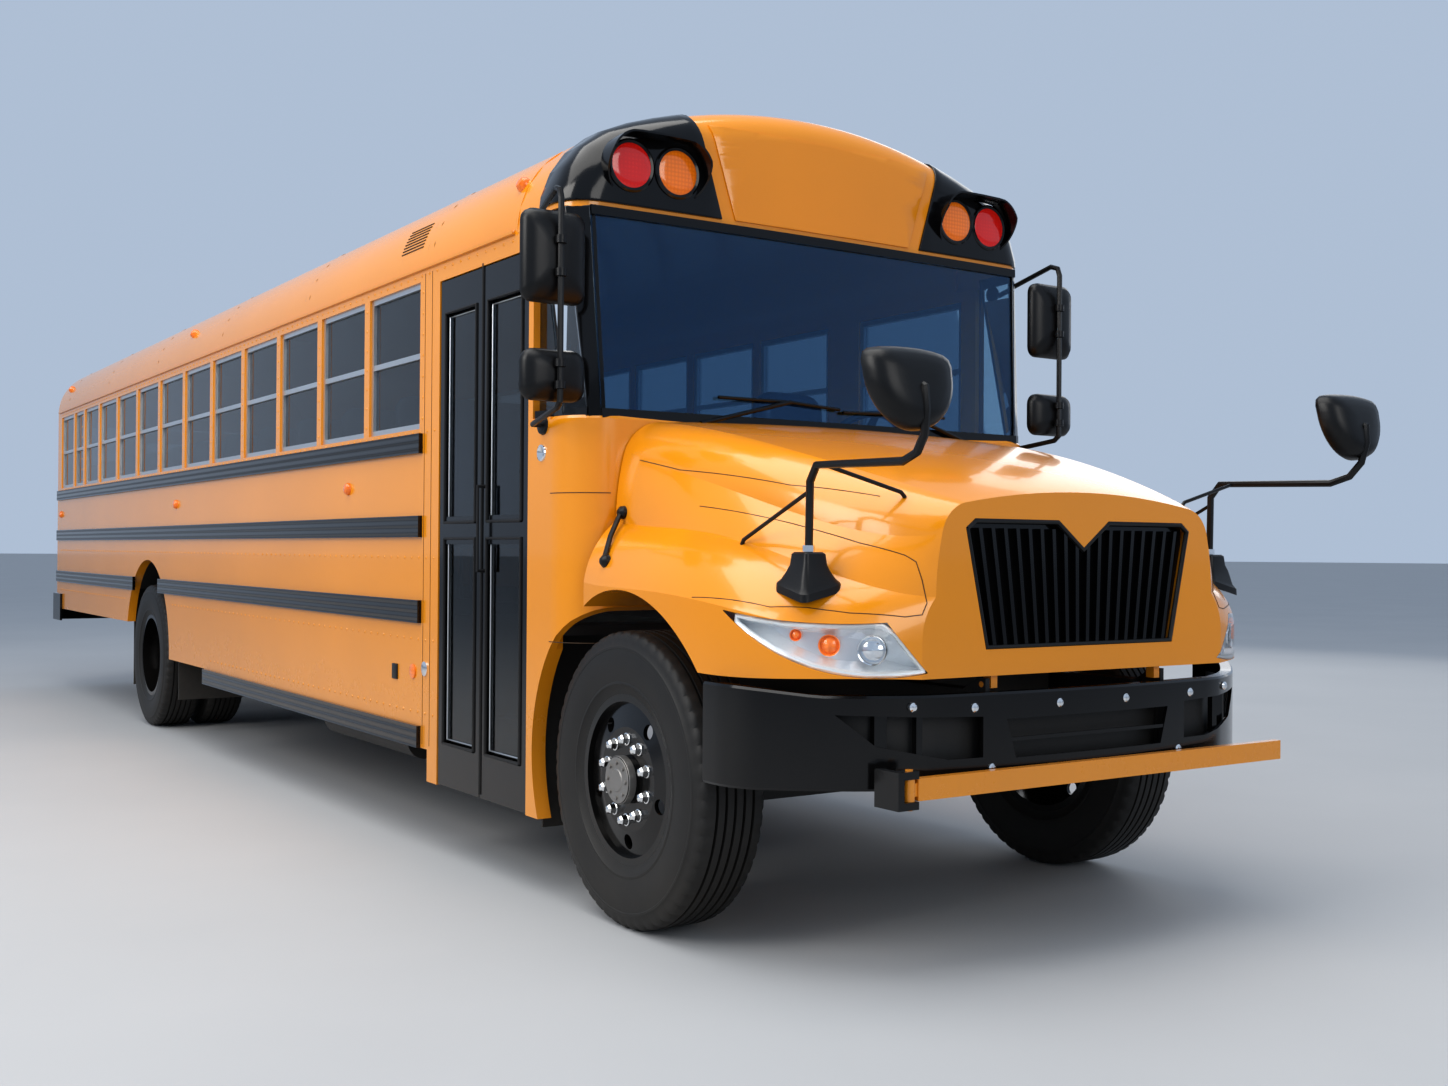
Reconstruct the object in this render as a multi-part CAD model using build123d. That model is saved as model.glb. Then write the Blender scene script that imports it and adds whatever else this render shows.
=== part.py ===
"""Conventional school bus, full size, as named pieces with working joints.

Millimetres.  While it is modelled, y = 0 is the front axle and y grows towards
the rear; x grows towards the left-hand side of the bus; z = 0 is the road.
Every piece is moved at the end so that the origin is under the middle of the bus.
"""
from math import cos, pi, radians, sin, sqrt, tan
import os
from build123d import *

# Overall body
BODY_HALF = 1199.0        # outer face of the side walls
WALL = 60.0               # side wall, skin to trim
EAVE_Z = 2600.0           # where wall meets roof
CROWN_Z = 3160.0          # top of the roof
SHOULDER_R = 420.0        # roof edge radius
ROOF_T = 50.0
REAR_Y = 10753.0          # outer face of the rear wall
CAP_REAR_Y = 800.0        # joint between front cap and roof
RUN = 0.5                 # running clearance at shafts and pins
GAP = 6.0                 # clearance round lids and the hood
DOOR_GAP = 8.0            # clearance at the hinge edge of a door
SEAT_GAP = 0.3            # between a piece and what it rests on
HINGE_IN = 6.0            # a door hinge's axis, in from its outer face and edge
HINGE_PIN_R = 5.0

# Axles and wheels
WHEELBASE = 7060.0
TYRE_R = 527.0
TYRE_W = 279.0
RIM_R = 286.0
FRONT_WHEEL_X = 1034.0
DUAL_OUTER_X = 1050.0
DUAL_PITCH = 322.0
KINGPIN_X = 880.0
KINGPIN_R = 22.0
HUB_R = 84.0
SPINDLE_R = 40.0
STUD_PCD = 285.75
STUDS = 10
STEER_DEG = 42

# Frame
RAIL_OUT = 432.0
RAIL_FLANGE = 76.0
RAIL_T = 8.0
RAIL_LOW = 640.0
RAIL_HIGH = 894.0
RAIL_FRONT = -980.0
RAIL_REAR = 10680.0
CROSS_MEMBERS = 12
FLOOR_Z = 1050.0
FLOOR_T = 40.0
SILL_H = 70.0
SILL_T = 60.0

# Side walls: skirt, arch and windows
SKIRT_Z = 442.0
SKIRT_STEP_Z = 540.0
SKIRT_STEP_Y = 5409.0
REAR_SKIRT_Z = 750.0
REAR_ARCH_R = 680.0
REAR_ARCH_Z = 560.0
WINDOW_SILL_Z = 1884.0
WINDOW_MID_Z = 2218.0
WINDOW_TOP_Z = 2550.0
WINDOW_PITCH = 711.0
WINDOW_POST = 70.0
FIRST_POST_Y = 1759.0     # centre of the post behind the entrance door
PLAIN_WINDOWS = 10
LAST_WINDOWS = (640.0, 456.0, 640.0)   # pitches of the three rearmost windows
SASH = 26.0
SASH_T = 36.0
GLASS_T = 6.0

# Entrance door
DOOR_FRONT = 690.0
DOOR_REAR = 1570.0
DOOR_LOW = 300.0
DOOR_HIGH = 2520.0
LEAF_T = 40.0
LEAF_FRAME = 55.0
LEAF_MID_Z = 1420.0
LEAF_SWING = 88

# Rub rails: low edge, high edge, first y on the right, first y on the left
RAIL_PROUD = 20.0
RUB_RAILS = (
    (1772.0, 1861.0, 1754.0),
    (1392.0, 1489.0, 1754.0),
    (1004.0, 1107.0, 1754.0),
    (442.0, 540.0, 1754.0),
)

# Front end
HOOD_REAR = 290.0
HOOD_T = 14.0
ARCH_R = 640.0
ARCH_Z = 560.0
BAY_HALF = 476.0
NOSE_Y = -1085.0
HOOD_PIVOT_Y = -1045.0
HOOD_PIVOT_Z = 915.0
HOOD_PIN_R = 10.0
HOOD_SWING = 60
COWL_T = 40.0
COWL_TOP = 1848.0
POST_FRONT = 500.0
GLASS_BASE_Z = 1852.0
GLASS_TOP_Z = 2640.0
GLASS_BASE_Y = 330.0
GLASS_TOP_Y = 520.0
GLASS_BULGE = 70.0
GLASS_HALF = 1150.0

BUMPER_FRONT = -1132.0
BUMPER_LOW = 535.0
BUMPER_HIGH = 880.0

# Rear emergency door
EXIT_HALF = 480.0
EXIT_LOW = 1080.0
EXIT_HIGH = 2500.0
EXIT_T = 46.0

# Seats
SEAT_ROWS = 11
SEAT_PITCH = 760.0
SEAT_FIRST_Y = 2260.0
SEAT_AISLE = 165.0
SEAT_Z = 1480.0

nodes = {}


def box(x0, x1, y0, y1, z0, z1):
    """Block between two corners."""
    middle = Pos((x0 + x1) / 2, (y0 + y1) / 2, (z0 + z1) / 2)
    return middle * Box(abs(x1 - x0), abs(y1 - y0), abs(z1 - z0))


def rod_x(x0, x1, y, z, r):
    """Cylinder along x."""
    return Pos((x0 + x1) / 2, y, z) * Rot(0, 90, 0) * Cylinder(r, abs(x1 - x0))


def rod_y(x, y0, y1, z, r):
    """Cylinder along y."""
    return Pos(x, (y0 + y1) / 2, z) * Rot(90, 0, 0) * Cylinder(r, abs(y1 - y0))


def rod_z(x, y, z0, z1, r):
    """Cylinder along z."""
    return Pos(x, y, (z0 + z1) / 2) * Cylinder(r, abs(z1 - z0))


def prism_x(points, x0, x1):
    """Outline of (y, z) points, drawn out along x."""
    face = make_face(Polyline(*points, close=True))
    return extrude(Plane.YZ.offset(x0) * face, amount=x1 - x0)


def prism_y(points, y0, y1):
    """Outline of (x, z) points, drawn out along y."""
    face = make_face(Polyline(*points, close=True))
    return extrude(Plane.XZ.offset(-y1) * face, amount=y1 - y0)


def prism_z(points, z0, z1):
    """Outline of (x, y) points, drawn out along z."""
    face = make_face(Polyline(*points, close=True))
    return extrude(Plane.XY.offset(z0) * face, amount=z1 - z0)


def both_sides(shape):
    """The shape with its mirror image across the middle of the bus."""
    return shape + mirror(shape, about=Plane.YZ)


def bow(p, q, rise):
    """Arc from p to q that rises by a share of its chord to the left of p-q."""
    dx = q[0] - p[0]
    dy = q[1] - p[1]
    middle = ((p[0] + q[0]) / 2 - dy * rise, (p[1] + q[1]) / 2 + dx * rise)
    return ThreePointArc(p, middle, q)


def along(start, end, r):
    """Straight round bar between two points."""
    path = Line(start, end)
    return sweep(Plane(origin=start, z_dir=path % 0) * Circle(r), path=path)


def bent_tube(points, bend, r):
    """Round tube along points, with one bend radius."""
    path = FilletPolyline(*points, radius=bend)
    return sweep(Plane(origin=points[0], z_dir=path % 0) * Circle(r), path=path)


# The roof's cross-section: two shoulder arcs and one wide crown arc
SHOULDER_X = BODY_HALF - SHOULDER_R
RISE = CROWN_Z - EAVE_Z
CROWN_R = (SHOULDER_X ** 2 + RISE ** 2 - SHOULDER_R ** 2) / (2 * (RISE - SHOULDER_R))
CROWN_CENTRE_Z = CROWN_Z - CROWN_R


def roof_face(inset, base_z):
    """Area under the roof line, moved in by inset, down to base_z."""
    to_centre = CROWN_R - SHOULDER_R
    ux = SHOULDER_X / to_centre
    uz = (EAVE_Z - CROWN_CENTRE_Z) / to_centre
    tangent_x = (CROWN_R - inset) * ux
    tangent_z = CROWN_CENTRE_Z + (CROWN_R - inset) * uz
    half = BODY_HALF - inset
    r = SHOULDER_R - inset
    mid_x = SHOULDER_X + r * sqrt(0.5)
    mid_z = EAVE_Z + r * sqrt(0.5)
    edges = [
        Line((-half, base_z), (half, base_z)),
        ThreePointArc((half, EAVE_Z), (mid_x, mid_z), (tangent_x, tangent_z)),
        ThreePointArc((tangent_x, tangent_z), (0, CROWN_Z - inset), (-tangent_x, tangent_z)),
        ThreePointArc((-tangent_x, tangent_z), (-mid_x, mid_z), (-half, EAVE_Z)),
    ]
    if base_z < EAVE_Z:
        edges.append(Line((half, base_z), (half, EAVE_Z)))
        edges.append(Line((-half, EAVE_Z), (-half, base_z)))
    return make_face(edges)


def roof_solid(inset, base_z, y0, y1):
    """Solid under the roof line between two stations."""
    return extrude(Plane.XZ.offset(-y1) * roof_face(inset, base_z), amount=y1 - y0)


# Frame: two channels and cross members
def build_frame():
    web = box(RAIL_OUT - RAIL_T, RAIL_OUT, RAIL_FRONT, RAIL_REAR, RAIL_LOW, RAIL_HIGH)
    inner = RAIL_OUT - RAIL_FLANGE
    low = box(inner, RAIL_OUT, RAIL_FRONT, RAIL_REAR, RAIL_LOW, RAIL_LOW + RAIL_T)
    high = box(inner, RAIL_OUT, RAIL_FRONT, RAIL_REAR, RAIL_HIGH - RAIL_T, RAIL_HIGH)
    frame = both_sides(web + low + high)
    reach = RAIL_OUT - RAIL_T
    pitch = (RAIL_REAR - RAIL_FRONT - 2 * RAIL_FLANGE) / (CROSS_MEMBERS - 1)
    for i in range(CROSS_MEMBERS):
        y = RAIL_FRONT + RAIL_FLANGE + i * pitch
        z = RAIL_LOW + RAIL_T if y < GEARBOX_REAR else RAIL_HIGH - CROSS_H
        frame += box(-reach, reach, y - 30, y + 30, z, z + CROSS_H - RAIL_T)
    ear = prism_x([
        (RAIL_FRONT + 20, RAIL_HIGH - 60), (RAIL_FRONT + 20, RAIL_HIGH), (HOOD_PIVOT_Y + 20, HOOD_PIVOT_Z + 20),
        (HOOD_PIVOT_Y - 20, HOOD_PIVOT_Z + 20), (HOOD_PIVOT_Y - 20, HOOD_PIVOT_Z - 20),
        (RAIL_FRONT - 20, RAIL_HIGH - 60)], RAIL_OUT - HOOD_EAR_T, RAIL_OUT)
    ear -= rod_x(0, RAIL_OUT + 10, HOOD_PIVOT_Y, HOOD_PIVOT_Z, HOOD_PIN_R + RUN)
    tow_eye = prism_x([
        (RAIL_REAR - 160, RAIL_LOW), (RAIL_REAR, RAIL_LOW), (RAIL_REAR, TOW_Z - TOW_EYE_R),
        (RAIL_REAR - 100, TOW_Z - TOW_EYE_R)], RAIL_OUT - TOW_EYE_T, RAIL_OUT)
    tow_eye -= rod_x(RAIL_OUT - TOW_EYE_T - 5, RAIL_OUT + 5, RAIL_REAR - TOW_EYE_R, TOW_Z, TOW_BORE_R)
    return frame + both_sides(ear) + both_sides(tow_eye)


# Engine with its gearbox, one plain block between the rails
CROSS_H = 70.0
HOOD_EAR_T = 18.0
TOW_EYE_R = 50.0
TOW_EYE_T = 25.0
TOW_BORE_R = 25.0
TOW_Z = 590.0
ENGINE_HALF = 300.0
ENGINE_FRONT = -640.0
ENGINE_REAR = 260.0
ENGINE_LOW = RAIL_LOW + CROSS_H
ENGINE_HIGH = 1420.0
GEARBOX_REAR = 1150.0
GEARBOX_HIGH = 960.0
nodes["frame_rails"] = build_frame()
nodes["engine_block"] = (
    box(-ENGINE_HALF, ENGINE_HALF, ENGINE_FRONT, ENGINE_REAR, ENGINE_LOW, ENGINE_HIGH)
    + box(-200, 200, ENGINE_REAR, GEARBOX_REAR, ENGINE_LOW, GEARBOX_HIGH)
)

# Rear axle: tube, differential and drums
AXLE_TUBE_R = 70.0
REAR_HUB_X = DUAL_OUTER_X - DUAL_PITCH / 2
rear_tube = rod_x(-REAR_HUB_X, REAR_HUB_X, WHEELBASE, TYRE_R, AXLE_TUBE_R)
differential = Pos(0, WHEELBASE, TYRE_R) * Sphere(210)
pinion_nose = rod_y(0, WHEELBASE - 420, WHEELBASE, TYRE_R, 90)
DRUM_R = 200.0
drum = rod_x(455, 590, WHEELBASE, TYRE_R, DRUM_R)
nodes["rear_axle"] = rear_tube + differential + pinion_nose

# Drive shaft from gearbox to rear axle, with two carrier bearings
SHAFT_Z = 690.0
CROSS_PITCH = (RAIL_REAR - RAIL_FRONT - 2 * RAIL_FLANGE) / (CROSS_MEMBERS - 1)
CARRIER_Y = RAIL_FRONT + RAIL_FLANGE + 5 * CROSS_PITCH
shaft_start = (0, GEARBOX_REAR + 2, ENGINE_LOW + 60)
shaft_mid = (0, CARRIER_Y, SHAFT_Z)
shaft_end = (0, WHEELBASE - 424, TYRE_R)
carrier = box(-110, 110, CARRIER_Y - 30, CARRIER_Y + 30, RAIL_LOW - 10, RAIL_HIGH - CROSS_H)
nodes["drive_shaft"] = along(shaft_start, shaft_mid, 50) + along(shaft_mid, shaft_end, 50) + carrier

# Front axle: dropped beam with an eye at each end
BEAM_Z = 470.0
EYE_HALF = 62.0
beam_half = [
    (KINGPIN_X - 180, BEAM_Z - 60), (KINGPIN_X - 75, TYRE_R - EYE_HALF), (KINGPIN_X, TYRE_R - EYE_HALF),
    (KINGPIN_X, TYRE_R + EYE_HALF), (KINGPIN_X - 75, TYRE_R + EYE_HALF), (KINGPIN_X - 190, BEAM_Z + 50),
]
front_beam = prism_y(beam_half + [(-x, z) for x, z in reversed(beam_half)], -45, 45)
for side in (-1, 1):
    front_beam += rod_z(side * KINGPIN_X, 0, TYRE_R - EYE_HALF, TYRE_R + EYE_HALF, 45)
for side in (-1, 1):
    front_beam -= rod_z(side * KINGPIN_X, 0, 300, 800, KINGPIN_R + RUN)
nodes["front_axle"] = front_beam


# Leaf springs: a bowed pack on each axle seat and two hangers on the rail
def spring(x, y, seat_z, thick, eye_z, half_length, width):
    outline = [
        ThreePointArc((y - half_length, eye_z), (y, seat_z), (y + half_length, eye_z)),
        Line((y + half_length, eye_z), (y + half_length, eye_z + thick / 3)),
        ThreePointArc((y + half_length, eye_z + thick / 3), (y, seat_z + thick),
                      (y - half_length, eye_z + thick / 3)),
        Line((y - half_length, eye_z + thick / 3), (y - half_length, eye_z)),
    ]
    return extrude(Plane.YZ.offset(x - width / 2) * make_face(outline), amount=width)


FRONT_SPRING_X = RAIL_OUT - 38
REAR_SPRING_X = 500.0
FRONT_SEAT_Z = BEAM_Z + 50
REAR_SEAT_Z = TYRE_R + AXLE_TUBE_R
front_spring = spring(FRONT_SPRING_X, 0, FRONT_SEAT_Z, 50, 590, 640, 76)
rear_spring = spring(REAR_SPRING_X, WHEELBASE, REAR_SEAT_Z, 70, 690, 720, 90)
for end in (-1, 1):
    front_spring += box(FRONT_SPRING_X - 38, FRONT_SPRING_X + 38, end * 640 - 30, end * 640 + 30, 590, RAIL_LOW)
    y = WHEELBASE + end * 720
    rear_spring += box(RAIL_OUT, REAR_SPRING_X + 45, y - 40, y + 40, 690, 800)
nodes["leaf_springs"] = both_sides(front_spring + rear_spring)

# Fuel tank between the rail and the right skirt, on two straps
TANK_X0 = -1100.0
TANK_X1 = -RAIL_OUT
tank = box(TANK_X0, TANK_X1 - 10, 2150, 3350, 330, 870)
tank = fillet(tank.edges().filter_by(Axis.Y), 90)
nodes["fuel_tank"] = tank + box(TANK_X1 - 12, TANK_X1, 2400, 2460, 660, 860) \
    + box(TANK_X1 - 12, TANK_X1, 3040, 3100, 660, 860)

# Exhaust: silencer on the left and a tail pipe to the rear
pipe_z = 560.0
muffler = rod_y(650, 2600, 3900, pipe_z, 130)
tail = bent_tube([(650, 3900, pipe_z), (650, 5600, pipe_z), (560, 6100, pipe_z)], 200, 50)
head = bent_tube([(330, 400, 720), (560, 900, pipe_z), (650, 1400, pipe_z), (650, 2600, pipe_z)], 150, 50)
hangers = box(RAIL_OUT, 660, 2900, 2940, 680, 740) + box(RAIL_OUT, 660, 3600, 3640, 680, 740)
nodes["exhaust"] = muffler + tail + hangers

# Floor: plate on cross sills, open over the rear wheels
SILL_TOP = FLOOR_Z - FLOOR_T
INNER_HALF = BODY_HALF - WALL
floor = box(-INNER_HALF, INNER_HALF, DOOR_REAR, REAR_Y - WALL, SILL_TOP, FLOOR_Z)
STEP_X = -500.0
floor += box(STEP_X, INNER_HALF, POST_FRONT, DOOR_REAR, SILL_TOP, FLOOR_Z)
floor += box(-INNER_HALF, STEP_X, POST_FRONT, DOOR_FRONT, SILL_TOP, FLOOR_Z)
SILLS = 15
sill_pitch = (REAR_Y - 400 - DOOR_REAR - 60) / (SILLS - 1)
for i in range(SILLS):
    y = DOOR_REAR + 60 + i * sill_pitch
    floor += box(-INNER_HALF, INNER_HALF, y - SILL_T / 2, y + SILL_T / 2, RAIL_HIGH, SILL_TOP)
for side in (-1, 1):
    floor -= rod_x(side * 555, side * 1250, WHEELBASE, REAR_ARCH_Z, REAR_ARCH_R + 20)
nodes["floor"] = floor

# Wheel housings over the rear duals
HOUSING_X = 560.0
housing = rod_x(HOUSING_X, INNER_HALF, WHEELBASE, REAR_ARCH_Z, REAR_ARCH_R + 18)
housing -= rod_x(HOUSING_X + 18, INNER_HALF + 10, WHEELBASE, REAR_ARCH_Z, REAR_ARCH_R)
housing -= box(0, BODY_HALF, WHEELBASE - 800, WHEELBASE + 800, REAR_ARCH_Z - 800, SILL_TOP)
nodes["wheel_housings"] = both_sides(housing)

# Entrance steps: a well with three treads
WELL_T = 20.0
TREAD_RUN = (INNER_HALF + STEP_X) / 3
well = box(-INNER_HALF, STEP_X, DOOR_FRONT, DOOR_REAR, DOOR_LOW + 20, SILL_TOP + FLOOR_T)
RISER = (FLOOR_Z - DOOR_LOW - 60) / 3
for i in range(3):
    x0 = -INNER_HALF - 1 + i * TREAD_RUN
    z0 = DOOR_LOW + 60 + i * RISER
    well -= box(-INNER_HALF - 5, x0 + TREAD_RUN, DOOR_FRONT + WELL_T, DOOR_REAR - WELL_T, z0, FLOOR_Z + 50)
    under = x0 + TREAD_RUN + WELL_T
    well -= box(under, STEP_X + 5, DOOR_FRONT - 5, DOOR_REAR + 5, 0, z0 + RISER - WELL_T)
nodes["entry_steps"] = well


# Side walls with window openings, skirt and rear arch
def window_spans():
    """Front and rear edge of each side window opening."""
    spans = []
    y = FIRST_POST_Y
    for pitch in (WINDOW_PITCH,) * PLAIN_WINDOWS + LAST_WINDOWS:
        spans.append((y + WINDOW_POST / 2, y + pitch - WINDOW_POST / 2))
        y += pitch
    return spans


ARCH_FRONT_Y = WHEELBASE - REAR_ARCH_R
wall_outline = [
    (DOOR_REAR, DOOR_LOW), (DOOR_REAR + 110, DOOR_LOW), (DOOR_REAR + 110, SKIRT_Z),
    (SKIRT_STEP_Y, SKIRT_Z), (SKIRT_STEP_Y, SKIRT_STEP_Z), (WHEELBASE, SKIRT_STEP_Z),
    (WHEELBASE, REAR_SKIRT_Z), (REAR_Y - WALL, REAR_SKIRT_Z), (REAR_Y - WALL, EAVE_Z),
    (DOOR_REAR, EAVE_Z),
]


def build_wall(outline):
    wall = prism_x(outline, INNER_HALF, BODY_HALF)
    wall -= rod_x(INNER_HALF - 5, BODY_HALF + 5, WHEELBASE, REAR_ARCH_Z, REAR_ARCH_R)
    for y0, y1 in window_spans():
        wall -= box(INNER_HALF - 5, BODY_HALF + 5, y0, y1, WINDOW_SILL_Z, WINDOW_TOP_Z)
    return wall


nodes["right_wall"] = mirror(build_wall(wall_outline), about=Plane.YZ)
QUARTER_REAR = DOOR_FRONT - 40
DRIVER_WINDOW = (DOOR_FRONT + 60, DOOR_REAR - 40)
left_outline = [
    (POST_FRONT, COWL_TOP - 1100), (POST_FRONT + 150, SKIRT_Z), (SKIRT_STEP_Y, SKIRT_Z),
    (SKIRT_STEP_Y, SKIRT_STEP_Z), (WHEELBASE, SKIRT_STEP_Z), (WHEELBASE, REAR_SKIRT_Z),
    (REAR_Y - WALL, REAR_SKIRT_Z), (REAR_Y - WALL, EAVE_Z), (QUARTER_REAR, EAVE_Z),
    (QUARTER_REAR, COWL_TOP), (POST_FRONT, COWL_TOP),
]
left_wall = build_wall(left_outline)
left_wall -= box(INNER_HALF - 5, BODY_HALF + 5, *DRIVER_WINDOW, WINDOW_SILL_Z, WINDOW_TOP_Z)
left_wall -= rod_x(INNER_HALF - 5, BODY_HALF + 5, 0, ARCH_Z, ARCH_R)
nodes["left_wall"] = left_wall

# Posts and header round the entrance door
door_frame = box(-BODY_HALF, -INNER_HALF, POST_FRONT, DOOR_FRONT, DOOR_LOW, COWL_TOP)
door_frame += box(-BODY_HALF, -INNER_HALF, QUARTER_REAR, DOOR_FRONT, COWL_TOP, EAVE_Z)
door_frame += box(-BODY_HALF, -INNER_HALF, DOOR_FRONT, DOOR_REAR, DOOR_HIGH, EAVE_Z)
door_frame -= rod_x(-BODY_HALF - 5, -INNER_HALF + 5, 0, ARCH_Z, ARCH_R)
LEAF_X0 = -BODY_HALF + 4
LEAF_X1 = LEAF_X0 + LEAF_T
HINGE_X = LEAF_X0 + HINGE_IN
HINGE_YS = (DOOR_FRONT + DOOR_GAP + HINGE_IN, DOOR_REAR - DOOR_GAP - HINGE_IN)
for y in HINGE_YS:
    door_frame -= rod_z(HINGE_X, y, DOOR_HIGH - 5, DOOR_HIGH + 30, HINGE_PIN_R + RUN)
nodes["door_frame"] = door_frame

# Roof shell with two hatch openings
HATCH_HALF = 310.0
HATCHES = (3300.0, 8200.0)
CURB_T = 25.0
LID_Z = CROWN_Z + 8
roof = roof_solid(0, EAVE_Z, CAP_REAR_Y, REAR_Y - WALL)
roof -= roof_solid(ROOF_T, EAVE_Z, CAP_REAR_Y - 5, REAR_Y)
for y in HATCHES:
    rim = HATCH_HALF + CURB_T
    roof += box(-rim, rim, y - rim, y + rim, CROWN_Z - ROOF_T - 20, LID_Z)
    roof -= box(-HATCH_HALF, HATCH_HALF, y - HATCH_HALF, y + HATCH_HALF, 2800, CROWN_Z + 100)
nodes["roof"] = roof

# Windshield: one bowed pane that leans back
def bowed_outline(half, side_y, front_y, depth):
    return [
        ThreePointArc((-half, side_y), (0, front_y), (half, side_y)),
        Line((half, side_y), (half, side_y + depth)),
        ThreePointArc((half, side_y + depth), (0, front_y + depth), (-half, side_y + depth)),
        Line((-half, side_y + depth), (-half, side_y)),
    ]


PANE_T = 10.0
lower = make_face(bowed_outline(GLASS_HALF, GLASS_BASE_Y + GLASS_BULGE, GLASS_BASE_Y, PANE_T))
upper = make_face(bowed_outline(GLASS_HALF, GLASS_TOP_Y + GLASS_BULGE, GLASS_TOP_Y, PANE_T))
windshield = loft([Plane.XY.offset(GLASS_BASE_Z) * lower, Plane.XY.offset(GLASS_TOP_Z) * upper], ruled=True)
nodes["windshield"] = windshield

# Front cap: roof outline cut to a leaning, bowed face with a rounded brow
RAKE = (GLASS_TOP_Y - GLASS_BASE_Y) / (GLASS_TOP_Z - GLASS_BASE_Z)
CAP_LOW = GLASS_TOP_Z


def leaning_front(back, base_z, top_z):
    """Solid behind the front face, moved back, from base_z to top_z."""
    y = GLASS_BASE_Y + RAKE * (base_z - GLASS_BASE_Z) + back
    side = y + GLASS_BULGE * (BODY_HALF / GLASS_HALF) ** 2
    outline = make_face([
        ThreePointArc((-BODY_HALF - 1, side), (0, y), (BODY_HALF + 1, side)),
        Line((BODY_HALF + 1, side), (BODY_HALF + 1, 2000)),
        Line((BODY_HALF + 1, 2000), (-BODY_HALF - 1, 2000)),
        Line((-BODY_HALF - 1, 2000), (-BODY_HALF - 1, side)),
    ])
    lean = Vector(0, RAKE, 1).normalized()
    return extrude(Plane.XY.offset(base_z) * outline, amount=(top_z - base_z) / lean.Z, dir=lean)


cap = roof_solid(0, EAVE_Z, 300, CAP_REAR_Y) & leaning_front(0, CAP_LOW, CROWN_Z + 50)
cap_inner = roof_solid(ROOF_T, EAVE_Z, 300, CAP_REAR_Y + 5) & leaning_front(WALL, CAP_LOW - 5, CROWN_Z)
cap -= cap_inner
LAMP_R = 90.0
LAMP_Z = 2850.0
LAMP_SEAT = 25.0
LAMPS = (("amber", 740.0), ("red", 950.0))


def face_y(x, z):
    """Where the bowed, leaning front is at a width and height."""
    return GLASS_BASE_Y + RAKE * (z - GLASS_BASE_Z) + GLASS_BULGE * (x / GLASS_HALF) ** 2


for colour, x in LAMPS:
    for side in (-1, 1):
        y = face_y(x, LAMP_Z)
        cap -= rod_y(side * x, y - 100, y + LAMP_SEAT, LAMP_Z, LAMP_R + 3)
nodes["front_cap"] = cap

# Corner posts beside the windshield, part of the cowl
post_low = GLASS_BASE_Y + GLASS_BULGE
post_high = post_low + RAKE * (EAVE_Z - GLASS_BASE_Z)
POST_W = 60.0
corner_post = prism_x(
    [(post_low, COWL_TOP), (post_low + POST_W, COWL_TOP), (post_low + POST_W, GLASS_BASE_Z),
     (post_high + POST_W, EAVE_Z), (post_high, EAVE_Z), (post_low, GLASS_BASE_Z)], GLASS_HALF, BODY_HALF)

# Cowl: curved panel from door post to hood, firewall and top shelf
cowl_outline = [
    Line((-BODY_HALF, POST_FRONT), (-BODY_HALF, POST_FRONT - 40)),
    bow((-BODY_HALF, POST_FRONT - 40), (-1010, HOOD_REAR + GAP), 0.2),
    Line((-1010, HOOD_REAR + GAP), (1010, HOOD_REAR + GAP)),
    bow((1010, HOOD_REAR + GAP), (BODY_HALF, POST_FRONT - 40), 0.2),
    Line((BODY_HALF, POST_FRONT - 40), (BODY_HALF, POST_FRONT)),
    Line((BODY_HALF, POST_FRONT), (-BODY_HALF, POST_FRONT)),
]
cowl_face = make_face(cowl_outline)
inner_face = offset(cowl_face, amount=-COWL_T)
cowl = extrude(Plane.XY.offset(900) * cowl_face, amount=COWL_TOP - 900)
cowl -= extrude(Plane.XY.offset(800) * inner_face, amount=COWL_TOP - COWL_T - 800)
cowl -= box(-BODY_HALF + COWL_T, BODY_HALF - COWL_T, POST_FRONT - COWL_T - 5, POST_FRONT + 5, 800, COWL_TOP - COWL_T)
cowl -= box(-260, 260, HOOD_REAR, POST_FRONT + 5, 800, GEARBOX_HIGH + 40)
for side in (-1, 1):
    cowl -= rod_x(side * BAY_HALF, side * 1400, 0, ARCH_Z, ARCH_R)
nodes["cowl"] = cowl + both_sides(corner_post)


# Hood: one lofted shell with flared fenders
# y, top, corner x, corner z, shoulder x, shoulder z, waist x, waist z, fender x, fender z, hem z
HOOD_SECTIONS = (
    (HOOD_REAR, 1852, 850, 1832, 1000, 1690, 1030, 1450, 1165, 1220, 1100),
    (-100, 1800, 800, 1770, 955, 1610, 1020, 1420, 1190, 1205, 1000),
    (-500, 1722, 740, 1675, 890, 1500, 985, 1370, 1180, 1180, 945),
    (-850, 1630, 640, 1575, 790, 1410, 890, 1270, 1065, 1120, 945),
    (NOSE_Y, 1545, 540, 1500, 640, 1400, 665, 1200, 720, 1060, 945),
)


def hood_face(row, inset, low):
    y, top, cx, cz, sx, sz, wx, wz, fx, fz, hem = row
    if low is not None:
        hem = low
    corner = (cx - inset, cz - inset)
    shoulder = (sx - inset, sz - inset)
    waist = (wx - inset, wz - inset)
    fender = (fx - inset, fz - inset)
    foot = (fx - inset, hem)
    edges = [
        ThreePointArc((-corner[0], corner[1]), (0, top - inset), corner),
        bow(corner, shoulder, 0.16),
        bow(shoulder, waist, 0.03),
        bow(waist, fender, 0.10),
        Line(fender, foot),
        Line(foot, (-foot[0], foot[1])),
        Line((-foot[0], foot[1]), (-fender[0], fender[1])),
        bow((-fender[0], fender[1]), (-waist[0], waist[1]), 0.10),
        bow((-waist[0], waist[1]), (-shoulder[0], shoulder[1]), 0.03),
        bow((-shoulder[0], shoulder[1]), (-corner[0], corner[1]), 0.16),
    ]
    return Plane.XZ.offset(-y) * make_face(edges)


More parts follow.
